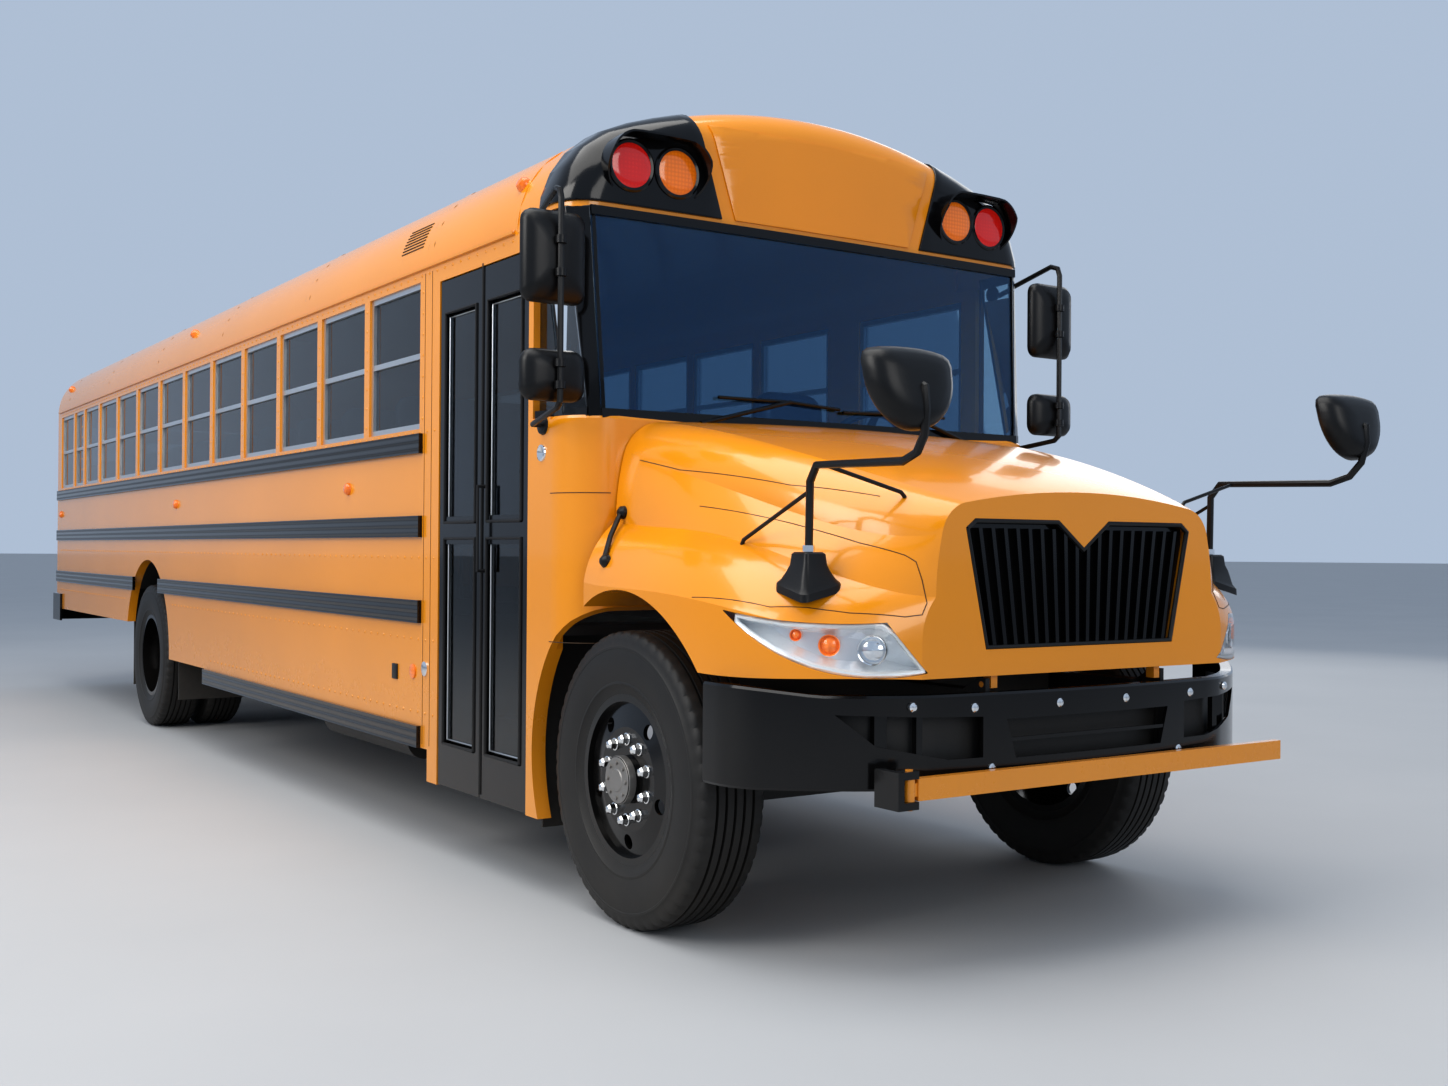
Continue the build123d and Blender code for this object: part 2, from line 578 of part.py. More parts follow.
hood_outer = loft([hood_face(row, 0, None) for row in HOOD_SECTIONS])
inner_rows = [row for row in HOOD_SECTIONS]
inner_rows[0] = (HOOD_REAR + 20,) + HOOD_SECTIONS[0][1:]
inner_rows[-1] = (NOSE_Y + 30,) + HOOD_SECTIONS[-1][1:]
hood_inner = loft([hood_face(row, HOOD_T, 900) for row in inner_rows])
liner = rod_x(BAY_HALF, 1400, 0, ARCH_Z, ARCH_R + HOOD_T)
liner += rod_x(-1400, -BAY_HALF, 0, ARCH_Z, ARCH_R + HOOD_T)
arch = rod_x(BAY_HALF + HOOD_T, 1400, 0, ARCH_Z, ARCH_R)
arch += rod_x(-1400, -BAY_HALF - HOOD_T, 0, ARCH_Z, ARCH_R)
hood = hood_outer - (hood_inner - liner) - arch
GRILLE = [
    (-540, 1420), (-450, 1030), (450, 1030), (540, 1420), (500, 1450),
    (120, 1450), (0, 1360), (-120, 1450), (-500, 1450),
]
hood -= prism_y(GRILLE, NOSE_Y - 50, NOSE_Y + 60)
lug_x = RAIL_OUT - HOOD_EAR_T - GAP
lug = box(lug_x - 28, lug_x, NOSE_Y + 20, HOOD_PIVOT_Y + 15, HOOD_PIVOT_Z - 12, HOOD_PIVOT_Z + 88)
lug += rod_x(lug_x - 28, RAIL_OUT, HOOD_PIVOT_Y, HOOD_PIVOT_Z, HOOD_PIN_R)
hood += both_sides(lug)

# Headlamps: long lenses let into the fender corners, seen square on along a diagonal
LAMP_DIR = Vector(462, 483, 0).normalized()
lamp_plane = Plane(origin=(900, -840, 0), x_dir=LAMP_DIR, z_dir=(LAMP_DIR.Y, -LAMP_DIR.X, 0))
LAMP_TIP = (330, 1150)
LAMP_TOP = (-195, 1120)
LAMP_LOW = (-315, 965)


def lamp_prism(grow, depth):
    """Lens outline, grown a little, through the fender corner."""
    outline = [
        bow(LAMP_TIP, LAMP_TOP, 0.03),
        Line(LAMP_TOP, LAMP_LOW),
        bow(LAMP_LOW, LAMP_TIP, -0.12),
    ]
    face = make_face(outline)
    if grow > 0:
        face = offset(face, amount=grow)
    return extrude(lamp_plane * face, amount=depth, both=True)


lens = (hood_outer - hood_inner) & lamp_prism(0, 260) & box(500, 1300, -1200, -500, 900, 1200)
hood -= both_sides(lamp_prism(2, 260) & box(500, 1300, -1200, -500, 900, 1200))
nodes["headlamps"] = both_sides(lens)
nodes["hood"] = hood

# Grille: upright slats in a rim, behind the opening
GRILLE_SLATS = 18
slats = box(-440, 440, NOSE_Y + 22, NOSE_Y + 50, 1030, 1050)
for i in range(GRILLE_SLATS):
    share = (i + 0.5) / GRILLE_SLATS * 2 - 1
    foot_x = share * 430
    head_x = share * 500
    top = 1420 if abs(head_x) > 130 else 1360 - 5 + abs(head_x) * 0.7
    slats += prism_y([(foot_x - 8, 1040), (foot_x + 8, 1040), (head_x + 8, top), (head_x - 8, top)],
                     NOSE_Y + 5, NOSE_Y + 35)
slats += box(-530, 530, NOSE_Y + 30.3, NOSE_Y + 45, 1010, 1470)
nodes["grille"] = slats

# Front bumper: wrapped beam, open inside
bumper_edges = [
    Line((-1215, -570), (-1215, -800)),
    bow((-1215, -800), (-900, -1060), 0.18),
    ThreePointArc((-900, -1060), (0, BUMPER_FRONT), (900, -1060)),
    bow((900, -1060), (1215, -800), 0.18),
    Line((1215, -800), (1215, -570)),
    Line((1215, -570), (1160, -570)),
    Line((1160, -570), (1160, -790)),
    bow((1160, -790), (870, -1000), -0.18),
    ThreePointArc((870, -1000), (0, BUMPER_FRONT + 60), (-870, -1000)),
    bow((-870, -1000), (-1160, -790), -0.18),
    Line((-1160, -790), (-1160, -570)),
    Line((-1160, -570), (-1215, -570)),
]
bumper = extrude(Plane.XY.offset(BUMPER_LOW) * make_face(bumper_edges), amount=BUMPER_HIGH - BUMPER_LOW)
nodes["front_bumper"] = bumper + both_sides(box(RAIL_OUT - 60, RAIL_OUT, -1090, RAIL_FRONT, 680, 800))

# Rear bumper
rear_bumper = box(-BODY_HALF - 20, BODY_HALF + 20, REAR_Y, REAR_Y + 77, 640, 890)
rear_bumper += both_sides(box(BODY_HALF, BODY_HALF + 20, REAR_Y - 276, REAR_Y + 77, 640, 890))
rear_bumper += both_sides(box(RAIL_OUT - 60, RAIL_OUT, RAIL_REAR, REAR_Y, 680, 800))
nodes["rear_bumper"] = rear_bumper

# Rear wall with emergency door opening and two fixed windows
rear_wall = roof_solid(0, REAR_SKIRT_Z + 145, REAR_Y - WALL, REAR_Y)
rear_wall -= box(-EXIT_HALF, EXIT_HALF, REAR_Y - WALL - 5, REAR_Y + 5, EXIT_LOW, EXIT_HIGH)
REAR_WINDOW = (600.0, 1060.0)
EXIT_HINGE_X = -EXIT_HALF + DOOR_GAP + HINGE_IN
EXIT_HINGE_Y = REAR_Y - HINGE_IN
rear_wall -= rod_z(EXIT_HINGE_X, EXIT_HINGE_Y, EXIT_LOW - 30, EXIT_HIGH + 30, HINGE_PIN_R + RUN)
rear_wall -= both_sides(box(*REAR_WINDOW, REAR_Y - WALL - 5, REAR_Y + 5, WINDOW_SILL_Z, WINDOW_TOP_Z - 60))
nodes["rear_wall"] = rear_wall

# Window sashes and glass
sashes = []
panes = []
right_windows = [(y0, y1, -1) for y0, y1 in window_spans()]
left_windows = [(y0, y1, 1) for y0, y1 in window_spans()] + [DRIVER_WINDOW + (1,)]
for y0, y1, side in right_windows + left_windows:
    x0 = side * (BODY_HALF - 12)
    x1 = side * (BODY_HALF - 12 - SASH_T)
    frame = box(x0, x1, y0, y1, WINDOW_SILL_Z, WINDOW_TOP_Z)
    for z0, z1 in ((WINDOW_SILL_Z + SASH, WINDOW_MID_Z - SASH / 2), (WINDOW_MID_Z + SASH / 2, WINDOW_TOP_Z - SASH)):
        frame -= box(x0 + side, x1 - side, y0 + SASH, y1 - SASH, z0, z1)
        middle = (x0 + x1) / 2
        panes.append(box(middle - GLASS_T / 2, middle + GLASS_T / 2, y0 + SASH, y1 - SASH, z0, z1))
    sashes.append(frame)
middle = REAR_Y - WALL / 2
rear_pane = box(*REAR_WINDOW, middle - GLASS_T / 2, middle + GLASS_T / 2, WINDOW_SILL_Z, WINDOW_TOP_Z - 60)
nodes["window_sashes"] = Compound(sashes)
lean_y = GLASS_BASE_Y + GLASS_BULGE + POST_W
quarter = prism_x(
    [(lean_y, GLASS_BASE_Z), (QUARTER_REAR, GLASS_BASE_Z), (QUARTER_REAR, EAVE_Z),
     (lean_y + RAKE * (EAVE_Z - GLASS_BASE_Z), EAVE_Z)], INNER_HALF + 25, INNER_HALF + 25 + GLASS_T)
nodes["side_glass"] = Compound(panes + [rear_pane, mirror(rear_pane, about=Plane.YZ), quarter,
                                        mirror(quarter, about=Plane.YZ)])

# Rub rails: ribbed strips on both sides
rails = []
for z0, z1, y0 in RUB_RAILS:
    for side in (-1, 1):
        spans = [(y0, REAR_Y - WALL)]
        if z0 < REAR_SKIRT_Z:
            spans = [(y0, SKIRT_STEP_Y)]
        elif z0 < 1100:
            spans = [(y0, WHEELBASE - 400), (WHEELBASE + 400, REAR_Y - WALL)]
        for a, b in spans:
            x = side * BODY_HALF
            rails.append(box(x, x + side * RAIL_PROUD, a, b, z0, z1))
nodes["rub_rails"] = Compound(rails)

# Signal lamps: eight round warning lamps and the tail lamps
lamps = []
for colour, x in LAMPS:
    for side in (-1, 1):
        lamps.append(rod_y(side * x, REAR_Y, REAR_Y + 40, LAMP_Z, LAMP_R))
        y = face_y(x, LAMP_Z)
        lamps.append(rod_y(side * x, y - 20, y + LAMP_SEAT, LAMP_Z, LAMP_R))
nodes["signal_lamps"] = Compound(lamps)


# Bench seats: cushion, tall back and aisle leg for each place
def bench(side, y):
    x0 = side * SEAT_AISLE
    x1 = side * (INNER_HALF - 0.3)
    cushion = box(x0, x1, y - 430, y - 20, SEAT_Z - 110, SEAT_Z)
    back = prism_x([(y - 60, SEAT_Z - 60), (y + 20, SEAT_Z - 60), (y + 90, SEAT_Z + 640), (y + 20, SEAT_Z + 640)],
                   min(x0, x1), max(x0, x1))
    leg = box(side * (SEAT_AISLE + 90), side * (SEAT_AISLE + 130), y - 380, y - 60, FLOOR_Z, SEAT_Z - 110)
    return cushion + back + leg


seats = []
for i in range(SEAT_ROWS):
    for side in (-1, 1):
        seats.append(bench(side, SEAT_FIRST_Y + i * SEAT_PITCH))
nodes["bench_seats"] = Compound(seats)

# Driver's place
nodes["driver_seat"] = (
    box(420, 900, 1020, 1480, 1400, 1520)
    + prism_x([(1420, 1500), (1520, 1500), (1600, 2200), (1530, 2200)], 430, 890)
    + box(520, 800, 1100, 1400, FLOOR_Z, 1400)
)
column = along((600, 560, 1560), (600, 872, 1799), 35)
wheel_tilt = Plane(origin=(600, 870, 1798), z_dir=(0, 300, 230))
steering = Location(wheel_tilt) * Torus(225, 16)
spokes = Location(wheel_tilt) * Box(430, 36, 16)
dash_top = COWL_TOP - COWL_T - SEAT_GAP
panel = box(-460, 1100, POST_FRONT, 700, 1300, dash_top) + box(-460, 1020, POST_FRONT - COWL_T, 700, 1300, dash_top)
nodes["dashboard"] = panel + column + steering + spokes

# Body mirrors on the front corners
MIRROR_X = 1290.0
MIRROR_Y = 250.0
tube = bent_tube([
    (BODY_HALF, 600, 2575), (BODY_HALF + 45, 600, 2575), (MIRROR_X, MIRROR_Y, 2680),
    (MIRROR_X, MIRROR_Y, 1860), (BODY_HALF + 45, 560, 1820), (BODY_HALF, 560, 1820)], 22, 12)
tall_head = box(MIRROR_X - 130, MIRROR_X + 130, MIRROR_Y - 75, MIRROR_Y, 2270, 2590)
round_head = box(MIRROR_X - 130, MIRROR_X + 130, MIRROR_Y - 75, MIRROR_Y, 1910, 2090)
nodes["body_mirrors"] = both_sides(tube + tall_head + round_head)

# Mud flaps
FLAP_X = INNER_HALF - 2
flaps = []
for side in (-1, 1):
    flaps.append(box(side * 900, side * FLAP_X, 662, 674, 250, SILL_TOP))
    for y in (WHEELBASE - REAR_ARCH_R - 32, WHEELBASE + REAR_ARCH_R + 20):
        flaps.append(box(side * 600, side * FLAP_X, y, y + 12, 250, SILL_TOP))
nodes["mud_flaps"] = Compound(flaps)

# Hood mirrors on each fender
HOOD_MIRROR_X = 975.0
base = loft([
    Plane.XY.offset(1120) * Pos(HOOD_MIRROR_X, -840) * Rectangle(130, 130),
    Plane.XY.offset(1310) * Pos(HOOD_MIRROR_X, -840) * Rectangle(50, 50),
], ruled=True)
base -= hood_outer
stalk = bent_tube([
    (HOOD_MIRROR_X, -840, 1300), (HOOD_MIRROR_X, -840, 1620), (HOOD_MIRROR_X + 40, -1380, 1600),
    (HOOD_MIRROR_X + 70, -1400, 1800)], 50, 13)
head_disc = Pos(HOOD_MIRROR_X + 70, -1360, 1810) * Sphere(150) & box(800, 1300, -1600, -1360, 1700, 1960)
nodes["hood_mirrors"] = both_sides(base + stalk + head_disc)


# Wheels
def tyre(x, y):
    half = TYRE_W / 2
    profile = [
        (RIM_R + 4, -half + 30), (RIM_R + 20, -half + 30), (RIM_R + 60, -half + 8), (RIM_R + 130, -half),
        (TYRE_R - 50, -half + 8),
        (TYRE_R - 12, -half + 24), (TYRE_R, -half + 50), (TYRE_R, half - 50), (TYRE_R - 12, half - 24),
        (TYRE_R - 50, half - 8), (RIM_R + 130, half), (RIM_R + 60, half - 8), (RIM_R + 20, half - 30),
        (RIM_R + 4, half - 30),
    ]
    face = make_face(Polyline(*[(r, 0, w) for r, w in profile], close=True))
    ring = revolve(face, axis=Axis.Z)
    return Pos(x, y, TYRE_R) * Rot(0, 90, 0) * ring


def steel_wheel(x, y, dish):
    """Rim with a dished disc; dish is how far the disc's face stands outboard."""
    seat = RIM_R + 3.7
    half = TYRE_W / 2 - 30
    s = 1 if dish > 0 else -1
    rim = [
        (-half - 6, RIM_R - 10), (half + 6, RIM_R - 10), (half + 6, RIM_R + 16), (half + 0.3, RIM_R + 16),
        (half + 0.3, seat), (-half - 0.3, seat), (-half - 0.3, RIM_R + 16), (-half - 6, RIM_R + 16),
    ]
    disc = [
        (s * 74, RIM_R - 9), (s * 92, RIM_R - 9), (dish + s * 7, 185), (dish + s * 7, 60), (dish - s * 7, 60),
        (dish - s * 7, 178),
    ]
    solids = []
    for outline in (rim, disc):
        face = make_face(Polyline(*[(r, 0, a) for a, r in outline], close=True))
        solids.append(revolve(face, axis=Axis.Z))
    wheel = solids[0] + solids[1]
    for i in range(HAND_HOLES):
        turn = 2 * pi * i / HAND_HOLES
        wheel -= Pos(222 * cos(turn), 222 * sin(turn), 0) * Cylinder(27, 400)
    return Pos(x, y, TYRE_R) * Rot(0, 90, 0) * wheel


HAND_HOLES = 5
FRONT_DISH = 100.0


def front_wheel(side):
    face_x = FRONT_WHEEL_X + FRONT_DISH
    wheel = steel_wheel(FRONT_WHEEL_X, 0, FRONT_DISH)
    wheel += rod_x(KINGPIN_X + 62, face_x + 50, 0, TYRE_R, HUB_R)
    wheel -= rod_x(KINGPIN_X + 50, FRONT_WHEEL_X + 22, 0, TYRE_R, SPINDLE_R + RUN)
    if side < 0:
        wheel = mirror(wheel, about=Plane.YZ)
    return wheel


def knuckle(side):
    z0 = TYRE_R - EYE_HALF
    z1 = TYRE_R + EYE_HALF
    body = rod_z(KINGPIN_X, 0, z0 - 60, z1 + 60, KINGPIN_R)
    for low, high in ((z0 - 55, z0 - RUN), (z1 + RUN, z1 + 55)):
        body += rod_z(KINGPIN_X, 0, low, high, 48) + box(KINGPIN_X, KINGPIN_X + 55, -44, 44, low, high)
    body += box(KINGPIN_X + 48, KINGPIN_X + 59, -60, 60, z0 - 55, z1 + 55)
    body += rod_x(KINGPIN_X + 55, FRONT_WHEEL_X + 20, 0, TYRE_R, SPINDLE_R)
    if side < 0:
        body = mirror(body, about=Plane.YZ)
    return body


def rear_wheel(side):
    inner_x = DUAL_OUTER_X - DUAL_PITCH
    face = DUAL_OUTER_X - DUAL_PITCH / 2
    wheel = steel_wheel(DUAL_OUTER_X, WHEELBASE, -face + inner_x + 7) + steel_wheel(inner_x, WHEELBASE, face - inner_x - 7)
    wheel += rod_x(face - 40, face + 130, WHEELBASE, TYRE_R, 110)
    wheel -= rod_x(face - 80, face + 10, WHEELBASE, TYRE_R, AXLE_TUBE_R + RUN)
    if side < 0:
        wheel = mirror(wheel, about=Plane.YZ)
    return wheel


for name, side in (("left", 1), ("right", -1)):
    nodes["knuckle_" + name] = knuckle(side)
    nodes["front_rim_" + name] = front_wheel(side)
    nodes["front_tyre_" + name] = tyre(side * FRONT_WHEEL_X, 0)
    nodes["rear_rims_" + name] = rear_wheel(side)
    nodes["rear_tyres_" + name] = Compound([
        tyre(side * DUAL_OUTER_X, WHEELBASE), tyre(side * (DUAL_OUTER_X - DUAL_PITCH), WHEELBASE)])


# Entrance door leaves: framed panels with two panes each
door_mid = (DOOR_FRONT + DOOR_REAR) / 2
LEAVES = (
    ("front", DOOR_FRONT + DOOR_GAP, door_mid - GAP / 2, HINGE_YS[0]),
    ("rear", door_mid + GAP / 2, DOOR_REAR - DOOR_GAP, HINGE_YS[1]),
)
for name, y0, y1, hinge_y in LEAVES:
    leaf = box(LEAF_X0, LEAF_X1, y0, y1, DOOR_LOW + 5, DOOR_HIGH - GAP)
    leaf += rod_z(HINGE_X, hinge_y, DOOR_HIGH - 60, DOOR_HIGH + 25, HINGE_PIN_R)
    glass = []
    for z0, z1 in ((DOOR_LOW + 190, LEAF_MID_Z - 60), (LEAF_MID_Z + 60, DOOR_HIGH - 150)):
        leaf -= box(LEAF_X0 - 5, LEAF_X1 + 5, y0 + LEAF_FRAME, y1 - LEAF_FRAME, z0, z1)
        middle = (LEAF_X0 + LEAF_X1) / 2
        glass.append(box(middle - GLASS_T / 2, middle + GLASS_T / 2, y0 + LEAF_FRAME, y1 - LEAF_FRAME, z0, z1))
    nodes["entrance_leaf_" + name] = leaf
    nodes["entrance_glass_" + name] = Compound(glass)

# Rear emergency door
exit_door = box(-EXIT_HALF + DOOR_GAP, EXIT_HALF - GAP, REAR_Y - EXIT_T, REAR_Y, EXIT_LOW + GAP, EXIT_HIGH - GAP)
exit_door += rod_z(EXIT_HINGE_X, EXIT_HINGE_Y, EXIT_LOW - 25, EXIT_HIGH + 25, HINGE_PIN_R)
exit_panes = []
for z0, z1 in ((1200, 1640), (1800, 2360)):
    exit_door -= box(-EXIT_HALF + 90, EXIT_HALF - 90, REAR_Y - EXIT_T - 5, REAR_Y + 5, z0, z1)
    exit_panes.append(box(-EXIT_HALF + 90, EXIT_HALF - 90, REAR_Y - 26, REAR_Y - 20, z0, z1))
nodes["exit_door"] = exit_door
nodes["exit_glass"] = Compound(exit_panes)

# Stop arm: blank eight-sided blade folded against the left side
STOP_Y = 1960.0
STOP_Z = 1640.0
STOP_R = 245.0
STOP_X = BODY_HALF + 30
octagon = [(STOP_Y + 70 + STOP_R + STOP_R * cos(pi / 8 + i * pi / 4), STOP_Z + STOP_R * sin(pi / 8 + i * pi / 4))
           for i in range(8)]
stop_arm = prism_x(octagon, STOP_X, STOP_X + 10)
stop_arm += box(STOP_X, STOP_X + 10, STOP_Y, STOP_Y + 90, STOP_Z - 60, STOP_Z + 60)
stop_arm += rod_z(STOP_X + 5, STOP_Y, STOP_Z - 80, STOP_Z + 80, HINGE_PIN_R)
nodes["stop_arm"] = stop_arm
bracket = box(BODY_HALF, STOP_X + 10, STOP_Y - 60, STOP_Y - GAP, STOP_Z - 85, STOP_Z + 85)
for low, high in ((STOP_Z - 85, STOP_Z - 60 - GAP), (STOP_Z + 60 + GAP, STOP_Z + 85)):
    bracket += box(STOP_X - 8, STOP_X + 18, STOP_Y - 30, STOP_Y + 13, low, high)
bracket -= rod_z(STOP_X + 5, STOP_Y, STOP_Z - 90, STOP_Z + 90, HINGE_PIN_R + RUN)
nodes["stop_arm_bracket"] = bracket

# Crossing arm folded along the bumper, with its mount
ARM_X = -830.0
ARM_Y = BUMPER_FRONT - 20
ARM_Z = 622.0
PIN_R = 12.0
arm = box(ARM_X + 25, 960, ARM_Y - 15, ARM_Y + 15, ARM_Z - 34, ARM_Z + 34)
arm += rod_z(ARM_X, ARM_Y, ARM_Z - 34, ARM_Z + 34, 18) + rod_z(ARM_X, ARM_Y, ARM_Z - 62, ARM_Z + 62, PIN_R)
arm += box(ARM_X, ARM_X + 60, ARM_Y - 10, ARM_Y + 10, ARM_Z - 20, ARM_Z + 20)
nodes["crossing_arm"] = arm
mount = box(ARM_X - 60, ARM_X - 36, ARM_Y - 22, -1040, ARM_Z - 58, ARM_Z + 58)
for low, high in ((ARM_Z - 58, ARM_Z - 34.5), (ARM_Z + 34.5, ARM_Z + 58)):
    mount += box(ARM_X - 40, ARM_X + 22, ARM_Y - 22, ARM_Y + 22, low, high)
mount -= rod_z(ARM_X, ARM_Y, ARM_Z - 80, ARM_Z + 80, PIN_R + RUN)
nodes["arm_mount"] = mount - bumper

# Roof hatches
for name, y in (("front", HATCHES[0]), ("rear", HATCHES[1])):
    rim = HATCH_HALF + CURB_T + 10
    lid = box(-rim, rim, y - rim, y + rim, LID_Z + 0.3, LID_Z + 50)
    nodes["roof_hatch_" + name] = lid

# The origin goes under the middle of the bus
FRONT_END = min(shape.bounding_box().min.Y for shape in nodes.values())
REAR_END = max(shape.bounding_box().max.Y for shape in nodes.values())
SHIFT = -(FRONT_END + REAR_END) / 2

os.makedirs("parts", exist_ok=True)
for name, shape in nodes.items():
    export_step(Pos(0, SHIFT, 0) * shape, "parts/" + name + ".step")
print("shift", round(SHIFT, 3), "ends", round(FRONT_END, 1), round(REAR_END, 1))
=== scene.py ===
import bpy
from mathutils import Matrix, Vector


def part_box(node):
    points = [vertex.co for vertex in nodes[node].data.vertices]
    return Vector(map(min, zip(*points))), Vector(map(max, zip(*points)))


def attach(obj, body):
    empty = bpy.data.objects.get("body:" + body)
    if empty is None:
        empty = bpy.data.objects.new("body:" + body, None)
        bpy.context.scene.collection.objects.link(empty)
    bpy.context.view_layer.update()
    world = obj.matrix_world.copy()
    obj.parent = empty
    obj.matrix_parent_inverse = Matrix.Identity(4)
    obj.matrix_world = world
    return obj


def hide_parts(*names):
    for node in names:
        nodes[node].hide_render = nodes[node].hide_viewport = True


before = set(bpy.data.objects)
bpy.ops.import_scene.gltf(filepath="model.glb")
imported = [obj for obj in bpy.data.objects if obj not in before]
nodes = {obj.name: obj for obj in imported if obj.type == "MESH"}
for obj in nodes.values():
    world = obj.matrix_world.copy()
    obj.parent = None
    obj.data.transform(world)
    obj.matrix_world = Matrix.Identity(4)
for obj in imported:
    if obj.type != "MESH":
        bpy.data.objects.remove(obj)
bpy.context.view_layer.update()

import math

import bpy
from mathutils import Matrix, Vector


# Viewing place: beside and ahead of the bus, at standing eye height, looking back along
# its right-hand side with a moderately wide lens, as the photograph was taken.
axle_low, axle_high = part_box("front_axle")
AXLE_Y = (axle_low[1] + axle_high[1]) / 2


def at(x, back, z):
    """A place: metres to the left of the middle, behind the front axle, above the road."""
    return Vector((x, AXLE_Y + back, z))


bpy.ops.object.camera_add(location=at(-3.784, -4.536, 1.342),
    rotation=(math.radians(90.285), math.radians(-0.40), math.radians(-33.915)))
viewing = bpy.context.object
viewing.name = "viewing_place"
viewing.data.sensor_width = 36.0
viewing.data.lens = 36.67
viewing.data.clip_end = 900.0
bpy.context.scene.camera = viewing


# Studio: a wide pale floor under a pale blue surround, a large soft box over the bus, and
# softer ones beside the entrance, ahead and on the far side.
FLOOR_REACH = 260.0
SOFT_BOXES = (
    # name, place, aim, size, power
    ("over_roof", (-3.0, -3.0, 11.0), (0.0, 0.0, 0.0), 10.0, 850.0),
    ("door_side", (-11.0, -4.0, 7.0), (-1.0, -1.0, 1.4), 6.0, 620.0),
    ("ahead", (-1.0, -17.0, 6.0), (0.0, -5.0, 1.6), 6.0, 300.0),
    ("far_side", (12.0, 3.0, 7.0), (0.0, 0.0, 1.4), 9.0, 260.0),
)


def settle(node, **settings):
    """Sets a shader node's properties and input sockets; _ in a name stands for a blank."""
    for label, value in settings.items():
        if hasattr(node, label) and label not in node.inputs:
            setattr(node, label, value)
        else:
            node.inputs[label.replace("_", " ")].default_value = value
    return node


def place_node(tree, kind, **settings):
    """A new shader node with its settings."""
    return settle(tree.nodes.new("ShaderNode" + kind), **settings)


def wire(tree, *links):
    """Links shader nodes; each link is (node, its output, node, its input)."""
    for source, output, sink, entry in links:
        tree.links.new(source.outputs[output], sink.inputs[entry])


def blank(name, **settings):
    """A new material, its node tree and its shader with these settings."""
    material = bpy.data.materials.new(name)
    material.use_nodes = True
    tree = material.node_tree
    return material, tree, settle(tree.nodes["Principled BSDF"], **settings)


bpy.ops.object.select_all(action="DESELECT")
bpy.ops.mesh.primitive_circle_add(vertices=96, radius=FLOOR_REACH, fill_type="NGON", location=(0, 0, 0))
studio_floor = bpy.context.object
studio_floor.name = "studio_floor"
pale, pale_tree, pale_shader = blank("pale_floor", Roughness=0.7, Specular_IOR_Level=0.25)
pale_place = place_node(pale_tree, "TexCoord")
pale_noise = place_node(pale_tree, "TexNoise", Scale=0.6, Detail=6.0)
pale_ramp = place_node(pale_tree, "ValToRGB")
pale_ramp.color_ramp.elements[0].color = (0.43, 0.435, 0.44, 1)
pale_ramp.color_ramp.elements[1].color = (0.49, 0.49, 0.49, 1)
wire(pale_tree, (pale_place, "Object", pale_noise, "Vector"), (pale_noise, "Fac", pale_ramp, "Fac"),
    (pale_ramp, "Color", pale_shader, "Base Color"))
studio_floor.data.materials.append(pale)

surround = bpy.data.worlds.new("surround")
surround.use_nodes = True
settle(surround.node_tree.nodes["Background"], Color=(0.62, 0.74, 0.92, 1), Strength=0.62)
bpy.context.scene.world = surround
for label, place, aim, size, power in SOFT_BOXES:
    bpy.ops.object.light_add(type="AREA", location=place)
    lamp = bpy.context.object
    lamp.name = "soft_box_" + label
    lamp.data.size = size
    lamp.data.energy = power
    lamp.data.color = (1.0, 0.97, 0.92)
    lamp.rotation_euler = (Vector(aim) - Vector(place)).to_track_quat("-Z", "Y").to_euler()
bpy.context.scene.view_settings.view_transform = "Standard"
bpy.context.scene.view_settings.look = "Medium High Contrast"


# Yellow sheet panels: walls, roof, hood and doors are steel sheet or moulded sheet,
# sprayed in one bus yellow and riveted or bolted to the body's bows.
DUST_COLOUR = (0.20, 0.17, 0.13, 1)


def effect(name, outputs, inputs):
    """An effect that several finishes share, with named values in and masks out."""
    group = bpy.data.node_groups.new(name, "ShaderNodeTree")
    for label, kind, default in inputs:
        socket = group.interface.new_socket(name=label, in_out="INPUT", socket_type=kind)
        socket.default_value = default
    for label, kind in outputs:
        group.interface.new_socket(name=label, in_out="OUTPUT", socket_type=kind)
    return group, group.nodes.new("NodeGroupInput"), group.nodes.new("NodeGroupOutput")


road_film, film_in, film_out = effect("road_film", [("Mask", "NodeSocketFloat")],
    [("Low", "NodeSocketFloat", 0.3), ("High", "NodeSocketFloat", 1.2), ("Amount", "NodeSocketFloat", 0.5)])
film_place = place_node(road_film, "TexCoord")
film_split = place_node(road_film, "SeparateXYZ")
film_rise = place_node(road_film, "MapRange", To_Min=1.0, To_Max=0.0)
film_cloud = place_node(road_film, "TexNoise", Scale=3.2, Detail=8.0, Roughness=0.62)
film_spots = place_node(road_film, "TexNoise", Scale=34.0, Detail=4.0, Roughness=0.7)
film_mix = place_node(road_film, "Math", operation="MULTIPLY")
film_sum = place_node(road_film, "Math", operation="MULTIPLY_ADD")
film_sum.inputs[1].default_value = 0.35
film_amount = place_node(road_film, "Math", operation="MULTIPLY", use_clamp=True)
wire(road_film, (film_place, "Object", film_split, "Vector"), (film_place, "Object", film_cloud, "Vector"),
    (film_place, "Object", film_spots, "Vector"), (film_split, "Z", film_rise, "Value"),
    (film_in, "Low", film_rise, "From Min"), (film_in, "High", film_rise, "From Max"),
    (film_spots, "Fac", film_sum, 0), (film_cloud, "Fac", film_sum, 2), (film_rise, "Result", film_mix, 0),
    (film_sum, "Value", film_mix, 1), (film_mix, "Value", film_amount, 0),
    (film_in, "Amount", film_amount, 1), (film_amount, "Value", film_out, "Mask"))

